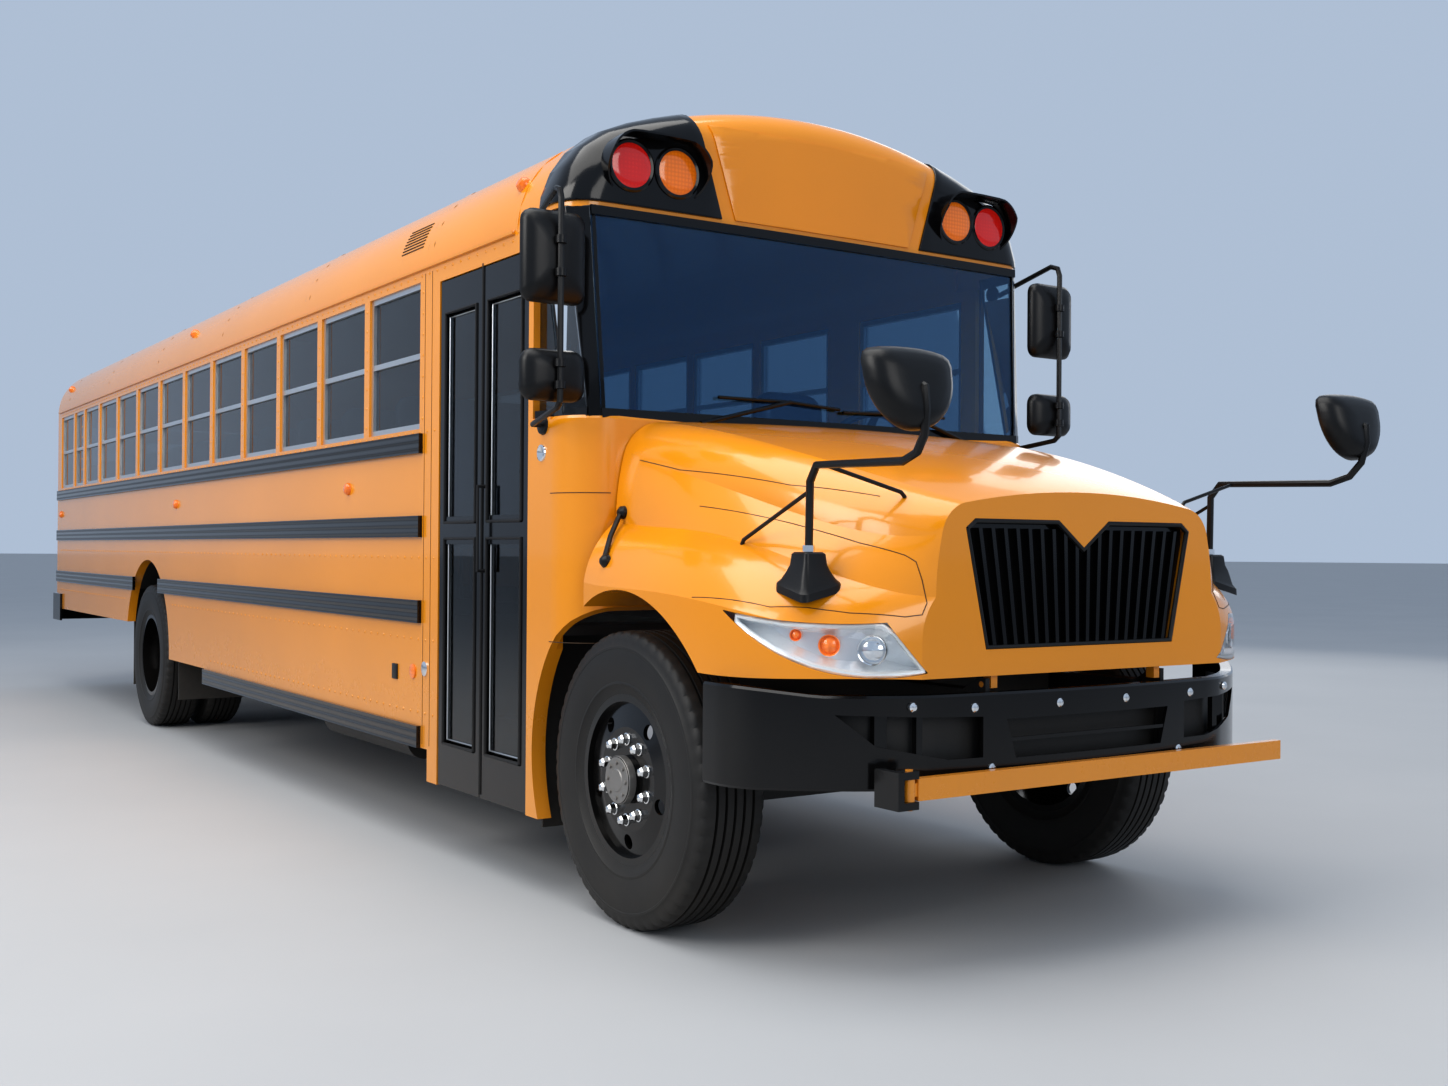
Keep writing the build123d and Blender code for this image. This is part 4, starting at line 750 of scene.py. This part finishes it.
mirror_face = finish("mirror_face", (0.80, 0.83, 0.86), 0.03, metallic=1.0, fine=900.0, depth=0.00002,
    film=(0.2, 3.0, 0.05), vary=0.02)


def rod(points, radius, side=1, round_over=2):
    """A round bar through (x, back, z) places; side -1 is the right."""
    return tube([at(side * x, back, z) for x, back, z in points], radius, round_over)


def rounded(width, height, corner):
    """Outline of a rounded rectangle about its middle."""
    points = []
    for cx, cz, first in ((1, 1, 0), (-1, 1, 1), (-1, -1, 2), (1, -1, 3)):
        for i in range(6):
            turn = math.pi / 2 * (first + i / 5)
            x, z = corner * math.cos(turn), corner * math.sin(turn)
            points.append((cx * (width / 2 - corner) + x, cz * (height / 2 - corner) + z))
    return points


def mirror_ring(side, back, z, width, height, corner):
    """One upright ring of a mirror head."""
    return [at(side * (MIRROR_X + x), back, z + h) for x, h in rounded(width, height, corner)]


for side, hand in SIDES:
    parts = [rod(MIRROR_TUBE, 0.012, side)]
    for z in (2.47, 2.35, 2.02, 1.94):
        parts.append(turned([(-0.014, TIP), (-0.014, 0.021), (0.014, 0.021), (0.014, TIP)],
            at(side * MIRROR_X, 0.250, z), (0, 0, 1), 20))
    for back, z in ((0.600, 2.575), (0.560, 1.820)):
        parts.append(turned([(0, TIP), (0, 0.040), (0.010, 0.036), (0.014, 0.018), (0.020, TIP)],
            at(side * BODY_HALF, back, z), (side, 0, 0), 24))
    arm = complete(joined(parts), "mirror_tube_" + hand, moulded)
    if side < 0:
        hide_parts("body_mirrors")
    for label, width, height, z, corner in MIRROR_HEADS:
        head = [mirror_ring(side, back, z, width * share, height * share, corner * share)
            for back, share in HEAD_DEPTHS]
        complete(solid(head), "mirror_head_%s_%s" % (label, hand), moulded, angle=50)
        face = [mirror_ring(side, back, z, width - 0.02, height - 0.02, corner - 0.01)
            for back in (0.320, 0.328)]
        complete(solid(face), "mirror_glass_%s_%s" % (label, hand), mirror_face)


# Hood mirrors: on each fender a cast bell base carries a bent stalk with two braces
# and a domed black mirror head that looks down ahead of the bumper.
STALK_X = 0.975
STALK_BACK = -0.835
STALK = ((STALK_X, STALK_BACK, 1.300), (STALK_X, -0.840, 1.560), (0.980, -0.880, 1.610),
    (1.015, -1.330, 1.600), (1.024, -1.400, 1.622), (1.032, -1.440, 1.670), (1.040, -1.455, 1.740),
    (1.042, -1.452, 1.800), (1.042, -1.430, 1.812))
BRACES = (((STALK_X, -0.838, 1.530), (0.998, -0.510, 1.378), (0.999, -0.500, 1.362)),
    ((0.985, -0.930, 1.608), (0.690, -0.944, 1.532), (0.673, -0.944, 1.516)))
HEAD_TOP = [(0.152, 0.030), (0.144, 0.052), (0.124, 0.064), (0.09, 0.070), (0.045, 0.074)]
HEAD_LOW = [(0.150 * math.cos(turn), 0.165 * math.sin(turn))
    for turn in [math.pi + math.pi * i / 24 for i in range(25)]]
HEAD_OUTLINE = HEAD_LOW + HEAD_TOP + [(0, 0.075)] + [(-x, z) for x, z in reversed(HEAD_TOP)]
DOME = ((0.96, -0.012), (1.0, -0.004), (1.0, 0.006), (0.97, 0.030), (0.90, 0.050), (0.76, 0.066),
    (0.55, 0.076), (0.30, 0.081), (0.10, 0.082))
for side, hand in SIDES:
    ground, normal = surface("hood", at(side * STALK_X, STALK_BACK, 3.0),
        at(side * STALK_X, STALK_BACK, 0.5))
    rings = []
    for rise, width in ((-0.020, 0.160), (0.004, 0.158), (0.016, 0.136)):
        rings.append([ground + Vector((x, y, rise - 0.35 * (normal.x * x + normal.y * y) / normal.z))
            for x, y in rounded(width, width, width * 0.16)])
    for rise, width in ((0.040, 0.110), (0.062, 0.092), (0.096, 0.084), (0.102, 0.070)):
        rings.append([ground + Vector((x, y, rise)) for x, y in rounded(width, width, width * 0.16)])
    parts = [solid(rings)]
    collar = turned([(-0.010, TIP), (-0.010, 0.020), (0.010, 0.020), (0.010, TIP)],
        at(side * STALK_X, STALK_BACK, ground.z + 0.113), (0, 0, 1), 24)
    complete(collar, "hood_mirror_collar_" + hand, chrome, "hood_body")
    parts.append(rod(STALK, 0.013, side))
    parts += [rod(brace, 0.007, side) for brace in BRACES]
    stalk = complete(joined(parts), "hood_mirror_stalk_" + hand, moulded, "hood_body")
    if side < 0:
        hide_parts("hood_mirrors")
    head = []
    for share, depth in DOME:
        head.append([at(side * (1.042 + x * share), -1.365 - depth + 0.20 * (z * share),
            1.845 + (z + 0.03) * share - 0.03) for x, z in HEAD_OUTLINE])
    complete(solid(head), "hood_mirror_head_" + hand, moulded, "hood_body", angle=60)


# Tyres: radial truck tyres with five grooves round the tread, cut shoulders and
# raised rings on bare side walls, seated on the rims.
TYRE_R = 0.527
REAR_AXLE = 7.060
HALF_PROFILE = [(0.104, 0.2875), (0.112, 0.292), (0.118, 0.310), (0.128, 0.335), (0.131, 0.338),
    (0.1315, 0.344), (0.130, 0.347), (0.137, 0.385), (0.139, 0.415), (0.1385, 0.440), (0.136, 0.462),
    (0.1375, 0.465), (0.1365, 0.472), (0.133, 0.476), (0.129, 0.495), (0.124, 0.511), (0.116, 0.520),
    (0.108, 0.5245)]
TREAD = [(groove + across, TYRE_R - deep) for groove in (0.072, 0.036, 0.0, -0.036, -0.072)
    for across, deep in ((0.0055, 0), (0.004, 0.013), (-0.004, 0.013), (-0.0055, 0))]
PROFILE = HALF_PROFILE + TREAD + [(-x, r) for x, r in reversed(HALF_PROFILE)] + HALF_PROFILE[:1]
tyre_rubber = finish("tyre_rubber", (0.009, 0.009, 0.0095), 0.55, specular=0.4, fine=220.0, depth=0.0004,
    film=(-0.2, 1.3, 0.16), vary=0.2)


def tyre(x):
    """One tyre about its axle, with every fourth step of its shoulders cut in."""
    rings = []
    for reach, radius in PROFILE:
        ring = []
        for i in range(216):
            turn = 2 * math.pi * i / 216
            r = radius - (0.007 if i % 4 == 0 and 0.107 < abs(reach) < 0.130 and radius > 0.49 else 0.0)
            ring.append(Vector((x + reach, r * math.cos(turn), r * math.sin(turn))))
        rings.append(ring)
    return skin(rings, closed=True)


for node, body, back, xs in (("front_tyre_", "front_wheel_", 0.0, (1.034,)),
        ("rear_tyres_", "rear_wheels_", REAR_AXLE, (1.050, 0.728))):
    for side, hand in ((1, "left"), (-1, "right")):
        tyres = joined([tyre(side * x) for x in xs])
        tyres.location = at(0, back, TYRE_R)
        complete(tyres, node + hand + "_moulded", tyre_rubber, body + hand)
        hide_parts(node + hand)


# Wheel nuts and hub caps: ten chromed nuts on each disc, a pressed steel cap over the
# front hubs, and bolted drive flanges on the rear hubs.
NUT_CIRCLE = 0.142875
dull_steel = finish("dull_steel", (0.30, 0.29, 0.28), 0.42, metallic=0.85, fine=120.0, film=(0.1, 1.1, 0.4),
    vary=0.25)
for hand, side in (("left", 1), ("right", -1)):
    for body, back, face, hub_r, hub_x in (("front_wheel_", 0.0, 1.141, 0.084, 1.184),
            ("rear_wheels_", REAR_AXLE, 0.903, 0.110, 1.019)):
        nuts = []
        for i in range(10):
            turn = 2 * math.pi * (i + 0.5) / 10
            place = at(side * face, back + NUT_CIRCLE * math.cos(turn),
                TYRE_R + NUT_CIRCLE * math.sin(turn))
            nuts.append(turned([(0, TIP), (0, 0.023), (0.005, 0.023), (0.006, 0.019)], place, (side, 0, 0),
                12))
            nuts.append(turned([(0.004, 0.019), (0.026, 0.018), (0.034, 0.013), (0.038, TIP)], place,
                (side, 0, 0), 6))
        complete(joined(nuts), body + hand + "_nuts", chrome, body + hand, angle=25)
        studs = [turned([(-0.030, hub_r + 0.002), (-0.004, hub_r + 0.002), (0.001, hub_r - 0.004),
            (0.002, hub_r - 0.020), (0.001, hub_r - 0.026), (0.001, hub_r * 0.5), (0.004, hub_r * 0.45),
            (0.004, TIP)], at(side * hub_x, back, TYRE_R), (side, 0, 0))]
        for i in range(8):
            turn = 2 * math.pi * i / 8
            place = at(side * hub_x, back + hub_r * 0.74 * math.cos(turn),
                TYRE_R + hub_r * 0.74 * math.sin(turn))
            studs.append(turned([(0, TIP), (0, 0.008), (0.007, 0.008), (0.009, TIP)], place, (side, 0, 0),
                6))
        complete(joined(studs), body + hand + "_hub_cap", dull_steel, body + hand)


# Headlamps: behind each clear moulded lens a dark housing with a bright bezel, a
# projector inboard and two amber turn signals outboard.
BULBS = (
    # name, place across the lens, height, radius, finish
    ("projector", -0.150, 1.035, 0.046, chrome),
    ("signal_inner", -0.020, 1.050, 0.034, lens_finishes["amber"]),
    ("signal_outer", 0.085, 1.080, 0.019, lens_finishes["amber"]),
)
LENS_HEIGHTS = [0.955 + 0.003 * k for k in range(66)]
reflector = finish("lamp_reflector", (0.80, 0.84, 0.88), 0.26, metallic=0.55, fine=60.0, depth=0.002,
    film=(0.2, 2.0, 0.03), vary=0.15)
dress(pane("clear_lens", (0.93, 0.95, 0.97), through=0.9), "headlamps")


def facing(side, u, z):
    """A place u across a headlamp from its middle, and the direction the lamp faces."""
    return at(side * (0.900 + 0.6912 * u), -0.840 + 0.7226 * u, z), Vector((side * 0.7226, -0.6912, 0))


def on_lens(side, u, z, deep):
    """A place at a depth behind the lens."""
    spot, out = facing(side, u, z)
    return surface("headlamps", spot + out * 0.35, spot)[0] - out * deep


for side, hand in SIDES:
    upper, lower = [], []
    for i in range(16):
        u = -0.300 + 0.622 * i / 15
        spot, out = facing(side, u, 0)
        met = [z for z in LENS_HEIGHTS if nodes["headlamps"].ray_cast(spot + out * 0.35 + Vector((0, 0, z)),
            -out, distance=0.6)[0]]
        if len(met) > 3:
            rim = min(0.006, (met[-1] - met[0]) * 0.25)
            upper.append((u, met[-1] - rim))
            lower.append((u, met[0] + rim))
    outline = upper + lower[::-1]
    front = [on_lens(side, u, z, 0.022) for u, z in outline]
    rear = [place - out * 0.050 for place in front]
    centre = sum(front, Vector()) / len(front) - out * 0.055
    end = [centre + (point - centre) * 0.6 for point in rear]
    housing = joined([skin([front, rear, end], closed=True), new_piece(end, [tuple(range(len(outline)))])])
    worked(housing, "SOLIDIFY", thickness=0.002, offset=0.0)
    complete(housing, "headlamp_housing_" + hand, reflector, "hood_body", angle=40)
    for label, u, z, radius, material in BULBS:
        bulb = turned([(0.0, TIP), (-0.004, radius * 0.55), (-0.012, radius * 0.8), (0.0, radius * 0.92),
            (0.002, radius), (-0.03, radius), (-0.045, radius * 0.6), (-0.045, TIP)],
            on_lens(side, u, z, 0.024), out, 36)
        complete(bulb, "headlamp_%s_%s" % (label, hand), material, "hood_body")
    bezel = [on_lens(side, u, z, 0.019) for u, z in outline]
    complete(tube(bezel + bezel[:1], 0.010), "headlamp_bezel_" + hand, reflector,
        "hood_body")


# Hood seams: the moulded hood is bonded from panels, with a dark joint line round the upper side panel and
# the fender, a dark strip of painted shade along its crease, and a rubber latch strap low on each side.
HOOD_SEAM = ((0.982, -0.216, 1.496), (0.892, -0.624, 1.434), (0.805, -0.881, 1.368), (0.732, -1.014, 1.331),
    (0.711, -1.043, 1.310), (0.702, -1.061, 1.254), (0.696, -1.078, 1.182), (0.717, -1.079, 1.146),
    (0.769, -1.059, 1.140), (0.916, -0.970, 1.151), (1.086, -0.783, 1.166), (1.187, -0.415, 1.184))
# The crease line is no joint: a dark strip of painted shade along the hood's fold.
HOOD_CREASE_SHADE = ((0.988, 0.186, 1.675), (0.960, -0.049, 1.630), (0.850, -0.566, 1.562),
    (0.689, -0.939, 1.507))
for side, hand in SIDES:
    lines = []
    for way in (HOOD_SEAM, HOOD_CREASE_SHADE):
        route = []
        for start, end in zip(way, way[1:]):
            for i in range(6):
                spot = Vector(start).lerp(Vector(end), i / 6)
                aim = at(side * spot.x, spot.y, spot.z)
                out = Vector((side * 0.65, -0.60, 0.45)) if spot.y < -0.9 else Vector((side * 0.8, -0.1,
                    0.6))
                place, normal = surface("hood", aim + out * 0.3, aim - out * 0.02)
                route.append(place + normal * 0.0002)
        lines.append(tube(route, 0.0016, 1))
    complete(joined(lines), "hood_seam_and_crease_shade_" + hand, seam_and_shade_dark, "hood_body")
    low, high = (surface("hood", at(side * 1.6, back, z), at(side * 0.9, back, z))[0]
        for back, z in ((0.150, 1.300), (0.235, 1.480)))
    strap = [tube([place + Vector((side * out, 0, 0))
        for place, out in ((low, 0.012), ((low + high) / 2, 0.020), (high, 0.012))], 0.010)]
    for place in (low, high):
        strap.append(turned([(-0.004, TIP), (-0.004, 0.026), (0.012, 0.024), (0.024, 0.012), (0.026, TIP)],
            place, (side, 0, 0), 20))
    complete(joined(strap), "hood_latch_" + hand, moulded, "hood_body")


# Grille rim: a thin black moulded bead round the shield's opening, with a notch at the
# middle of its top, clipped over the edge of the hood.
GRILLE_RIM = ((-0.532, 1.418), (-0.444, 1.037), (0.444, 1.037), (0.532, 1.418), (0.495, 1.443),
    (0.123, 1.443), (0.0, 1.352), (-0.123, 1.443), (-0.495, 1.443), (-0.532, 1.418))
rim = tube([at(x, -1.080, z) for x, z in GRILLE_RIM], 0.009)
complete(rim, "grille_rim", moulded, "hood_body")


# Body trim: rivet rows where the side sheets meet the bows, a folded drip rail under the
# roof's edge, roof bow strips, amber side markers, all fixed from outside.
RIVET_PITCH = 0.085
WALL_END = 10.66
DRIP = ((BODY_HALF - 0.004, 2.622), (BODY_HALF + 0.010, 2.604), (BODY_HALF + 0.012, 2.612),
    (BODY_HALF + 0.015, 2.612), (BODY_HALF + 0.014, 2.600), (BODY_HALF - 0.004, 2.598))
ROOF_BOWS = [1.695 + 1.72 * bow for bow in range(6)]


def rivet_places(side, first):
    """Rivets in level rows clear of the rear wheel, and upright rows on the window posts."""
    places = []
    for z in (2.575, 1.868, 1.300, 0.930, 0.600):
        start = first if z < 2.5 else 0.84
        for i in range(int((WALL_END - start) / RIVET_PITCH)):
            back = start + i * RIVET_PITCH
            if not (z < 1.2 and abs(back - REAR_AXLE) < 0.74 or z < 0.7 and back > 5.35):
                places.append(at(side * BODY_HALF, back, z))
    for post in range(12):
        places += [at(side * BODY_HALF, 1.759 + post * 0.711, 1.93 + i * 0.095) for i in range(7)]
    return places


def strew(small, places, side):
    """Copies of one small mesh at many places on a side wall, joined into one piece."""
    points, faces = [], []
    for place in places:
        first = len(points)
        points += [place + Vector((side * v.co.z, v.co.x, v.co.y)) for v in small.data.vertices]
        faces += [tuple(first + i for i in face.vertices) for face in small.data.polygons]
    bpy.data.objects.remove(small)
    return new_piece(points, faces)


for side, hand, first in ((-1, "right", 1.62), (1, "left", 0.72)):
    rivet = turned([(-0.0010, 0.0075), (0.0010, 0.0068), (0.0028, 0.0042), (0.0034, TIP)], (0, 0, 0),
        (0, 0, 1), 8)
    complete(strew(rivet, rivet_places(side, first), side), "wall_rivets_" + hand, yellow,
        angle=60)
    complete(plate(DRIP, 0.82, 9.86, side), "drip_rail_" + hand, yellow)
    seams = [rod([(BODY_HALF + 0.0002, back, z) for z in (0.46, 2.58)], 0.0015, side, 1)
        for back in (1.655, 1.735)]
    complete(joined(seams), "wall_seams_" + hand, seam_and_shade_dark)
    markers = []
    for back in (2.714, 6.20, 10.55):
        markers.append(turned([(-0.002, TIP), (-0.002, 0.032), (0.008, 0.031), (0.020, 0.024),
            (0.024, TIP)], at(side * BODY_HALF, back, 1.638), (side, 0, 0), 24))
    for back in (0.860, 5.964, 10.40):
        place, normal = surface("roof", at(side * 2.2, back, 2.95), at(side * 0.9, back, 2.78))
        markers.append(turned([(-0.004, TIP), (-0.004, 0.034), (0.010, 0.032), (0.026, 0.022),
            (0.030, TIP)], place, normal, 24))
    complete(joined(markers), "side_markers_" + hand, lens_finishes["amber"])
bows = [skin([roof_ring(inset, back + edge) for inset, edge in ((0.001, -0.031), (-0.002, -0.030),
    (-0.002, 0.030), (0.001, 0.031))]) for back in ROOF_BOWS]
complete(joined(bows), "roof_bow_strips", yellow, angle=60)
seams = [tube(roof_ring(-0.0005, back + edge), 0.0014, 1) for back in ROOF_BOWS for edge in (-0.032, 0.032)]
complete(joined(seams), "roof_bow_seams", seam_and_shade_dark)
# Dark strips on the right of the roof: painted shade in the vent slots' openings.
slots = []
for z in [2.715 + 0.016 * k for k in range(8)]:
    slots.append(tube([surface("roof", at(-2.2, back, z), at(-0.9, back, z))[0] for back in (1.80, 2.06)],
        0.0035, 1))
complete(joined(slots), "roof_vent_slot_shade", seam_and_shade_dark)
inlet = drawn_out([at(-BODY_HALF + 0.002, back, z) for back, z in bar_block(2.030, 2.092, 0.730, 0.802)],
    (-0.010, 0, 0))
worked(inlet, "BEVEL", width=0.004, segments=2, limit_method="ANGLE")
complete(inlet, "side_socket_cover", moulded)
for label, back, z, material in (("amber", 1.846, 0.780, lens_finishes["amber"]),
        ("clear", 1.706, 0.801, chrome)):
    disc = turned([(-0.002, TIP), (-0.002, 0.033), (0.006, 0.033), (0.008, 0.026), (0.009, TIP)],
        at(-BODY_HALF, back, z), (-1, 0, 0), 28)
    complete(disc, "side_reflector_" + label, material)


# Rear lamps: sealed round lamps with moulded lenses in two rows over the exit door and
# beside it, on the flat rear sheet, with a bent steel handle on the door.
REAR_SHEET = 10.753
REAR_LAMPS = (
    # name, place across, height, radius, colour
    ("warning_amber", 0.740, 2.850, 0.090, "amber"),
    ("warning_red", 0.950, 2.850, 0.090, "red"),
    ("brake", 0.950, 1.400, 0.090, "red"),
    ("signal", 0.950, 1.180, 0.090, "amber"),
    ("tail", 0.740, 1.180, 0.055, "red"),
)
for side, hand in SIDES:
    for label, x, z, radius, colour in REAR_LAMPS:
        place = at(side * x, REAR_SHEET, z)
        bowl = turned([(-0.002, TIP), (-0.002, radius), (0.010, radius), (0.020, radius * 0.92),
            (0.026, radius * 0.6), (0.028, TIP)], place, (0, 1, 0), 40)
        complete(bowl, "rear_%s_%s" % (label, hand), lens_finishes[colour])
        ring = turned([(0.000, radius), (0.000, radius + 0.014), (0.014, radius + 0.012),
            (0.016, radius - 0.001)], place, (0, 1, 0), 40)
        complete(ring, "rear_%s_ring_%s" % (label, hand), gloss_black)
handle = rod(((-0.30, 10.750, 1.72), (-0.30, 10.790, 1.72), (-0.42, 10.790, 1.72), (-0.42, 10.750, 1.72)),
    0.009)
complete(handle, "exit_door_handle", chrome, "exit_door_body")


# Bench seats: foam cushions and backs under dark blue vinyl, pulled on and stapled
# beneath, on bent steel tube frames bolted to the floor and the side walls.
BENCH_X = 0.652
BENCH_ROWS = [2.260 + 0.760 * row for row in range(11)]
FRAME = ((0.275, 1.052), (0.275, 1.362), (1.135, 1.362))
vinyl = finish("seat_vinyl", (0.016, 0.028, 0.06), 0.42, fine=650.0, depth=0.0008, film=(0.2, 1.2, 0.05),
    vary=0.12)
bench_steel = finish("bench_steel", (0.05, 0.05, 0.055), 0.4, metallic=0.5, fine=200.0,
    film=(0.2, 1.2, 0.1), vary=0.15)


def swollen(pad, limit):
    """Swells a pad by a short cloth simulation; no point moves further than limit."""
    worked(pad, "REMESH", mode="VOXEL", voxel_size=0.022)
    start = [vertex.co.copy() for vertex in pad.data.vertices]
    take(pad)
    cloth = pad.modifiers.new("cloth", "CLOTH")
    cloth.settings.use_pressure = True
    cloth.settings.uniform_pressure_force = 4.0
    cloth.settings.effector_weights.gravity = 0.0
    for step in range(1, 21):
        bpy.context.scene.frame_set(step)
    bpy.ops.object.modifier_apply(modifier=cloth.name)
    bpy.context.scene.frame_set(1)
    for vertex, first in zip(pad.data.vertices, start):
        move = vertex.co - first
        if move.length > limit:
            vertex.co = first + move * (limit / move.length)
    return pad


def pad_block(width, height, depth, corner, lean):
    """A rounded block of foam: its outline across and up, drawn out to the rear, leaning back."""
    block = drawn_out([Vector((x, 0, z + height / 2)) for x, z in rounded(width, height, corner)],
        (0, depth, 0))
    worked(block, "BEVEL", width=0.018, segments=3, limit_method="ANGLE")
    for vertex in block.data.vertices:
        vertex.co.y += vertex.co.z * lean
    return block


def padded(pad, name, place):
    """Ends a pad: its place and cover."""
    pad.location = place
    complete(pad, name, vinyl, angle=180)


cushion = swollen(pad_block(0.950, 0.090, 0.390, 0.030, 0.0), 0.014)
backrest = swollen(pad_block(0.950, 0.660, 0.055, 0.090, 0.11), 0.016)
PADS = (
    # name, model, its front behind the row's place, its underside over the road
    ("cushion", cushion, -0.420, 1.376),
    ("backrest", backrest, -0.048, 1.440),
)
frames = []
for side, hand in SIDES:
    for row, back in enumerate(BENCH_ROWS, 1):
        for label, model, reach, z in PADS:
            pad = bpy.data.objects.new(label, model.data.copy())
            bpy.context.scene.collection.objects.link(pad)
            padded(pad, "bench_%s_%s_%02d" % (label, hand, row), at(side * BENCH_X, back + reach, z))
            if label == "cushion" and side < 0 and row == 1:
                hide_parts("bench_seats")
        for reach in (-0.380, -0.060):
            frames.append(rod([(x, back + reach, z) for x, z in FRAME], 0.013, side, 1))
        frames.append(plate(bar_block(0.245, 0.305, 1.0505, 1.0565), back - 0.420, 0.400, side))
complete(joined(frames), "bench_frames", bench_steel)
bpy.data.objects.remove(cushion)
bpy.data.objects.remove(backrest)


# Driver's seat: a sprung single seat, foam under the same vinyl, on a rubber bellows and
# a steel plate bolted to the floor behind the steering wheel.
DRIVER_X = 0.660
driver_cushion = swollen(pad_block(0.455, 0.100, 0.430, 0.030, 0.0), 0.016)
padded(driver_cushion, "driver_cushion", at(DRIVER_X, 1.035, 1.405))
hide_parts("driver_seat")
padded(swollen(pad_block(0.440, 0.640, 0.080, 0.120, 0.13), 0.016), "driver_back",
    at(DRIVER_X, 1.400, 1.520))
folds = [(0.02 + 0.02 * i, 0.160 + 0.022 * (i % 2)) for i in range(16)]
bellows = turned([(0.0, TIP), (0.0, 0.200)] + folds + [(0.345, 0.200), (0.352, TIP)],
    at(DRIVER_X, 1.250, 1.051), (0, 0, 1), 36)
complete(bellows, "driver_bellows", moulded)


# Entrance leaves: black painted aluminium leaves with rubber gaskets round the glass, a
# rubber seal down the middle and a pull handle, hung on hinges in the door frame.
LEAF_FACE = -1.1955
aluminium = finish("mill_aluminium", (0.62, 0.64, 0.66), 0.32, metallic=0.9, fine=700.0,
    film=(0.2, 3.0, 0.12), vary=0.06)
seal_rubber = finish("seal_rubber", (0.010, 0.010, 0.011), 0.55, specular=0.35, fine=500.0,
    film=(0.1, 1.2, 0.1), vary=0.2)
for label, near, far in (("front", 0.753, 1.072), ("rear", 1.188, 1.507)):
    gaskets, beads = [], []
    for low, high in ((0.490, 1.385), (1.455, 2.370)):
        loop = bar_block(near, far, low, high) + [(near, low)]
        inner = bar_block(near + 0.016, far - 0.016, low + 0.018,
            high - 0.018) + [(near + 0.016, low + 0.018)]
        gaskets.append(rod([(LEAF_FACE, back, z) for back, z in loop], 0.008))
        beads.append(rod([(-1.182, back, z) for back, z in inner], 0.004, round_over=1))
    if label == "front":
        gaskets.append(rod(((LEAF_FACE, 1.122, 0.32), (LEAF_FACE, 1.122, 2.53)), 0.007))
        gaskets.append(rod(((-1.194, 1.100, 1.25), (-1.225, 1.100, 1.25), (-1.225, 1.100, 1.60),
            (-1.194, 1.100, 1.60)), 0.008))
    complete(joined(gaskets), "entrance_gaskets_" + label, seal_rubber,
        "door_leaf_" + label)
    complete(joined(beads), "entrance_beads_" + label, aluminium, "door_leaf_" + label)


# Pieces that keep the shape of their solids: painted steel bumper, rims, axles, rails and
# tank, rubber flaps, cast engine and knuckles, mill-finish sashes, and a matted floor.
rubber = finish("rubber_sheet", (0.012, 0.012, 0.013), 0.6, fine=500.0, film=(0.1, 1.2, 0.35), vary=0.2)
cast = finish("cast_iron", (0.07, 0.065, 0.06), 0.7, metallic=0.4, fine=160.0, depth=0.001,
    film=(0.1, 1.1, 0.6), vary=0.3)
mat = finish("floor_mat", (0.035, 0.035, 0.037), 0.6, fine=420.0, depth=0.0008, film=(0.3, 1.3, 0.4),
    vary=0.2)
sign_red = finish("sign_red", (0.45, 0.012, 0.012), 0.35, fine=500.0, film=(0.2, 2.0, 0.1), vary=0.05)
ribbed = gloss_black.copy()
ribbed.name = "ribbed_black"
rib_tree = ribbed.node_tree
rib_place = place_node(rib_tree, "TexCoord")
rib_bands = place_node(rib_tree, "TexWave", wave_type="BANDS", bands_direction="Z", Scale=9.0)
rib_bump = place_node(rib_tree, "Bump", Strength=0.9, Distance=0.004)
wire(rib_tree, (rib_place, "Object", rib_bands, "Vector"), (rib_bands, "Fac", rib_bump, "Height"),
    (rib_bump, "Normal", rib_tree.nodes["Principled BSDF"], "Normal"))
dress(ribbed, "rub_rails")
dress(gloss_black, "rear_bumper", "front_rim_left", "front_rim_right", "rear_rims_left", "rear_rims_right",
    "entrance_leaf_front", "entrance_leaf_rear", "arm_mount", "grille")
dress(chassis_black, "frame_rails", "rear_axle", "drive_shaft", "front_axle", "leaf_springs", "fuel_tank",
    "wheel_housings")
dress(moulded, "dashboard", "stop_arm_bracket")
dress(rubber, "mud_flaps")
dress(cast, "engine_block", "knuckle_left", "knuckle_right")
dress(aluminium, "window_sashes")
dress(dull_steel, "exhaust")
dress(mat, "floor", "entry_steps")
dress(sign_red, "stop_arm")
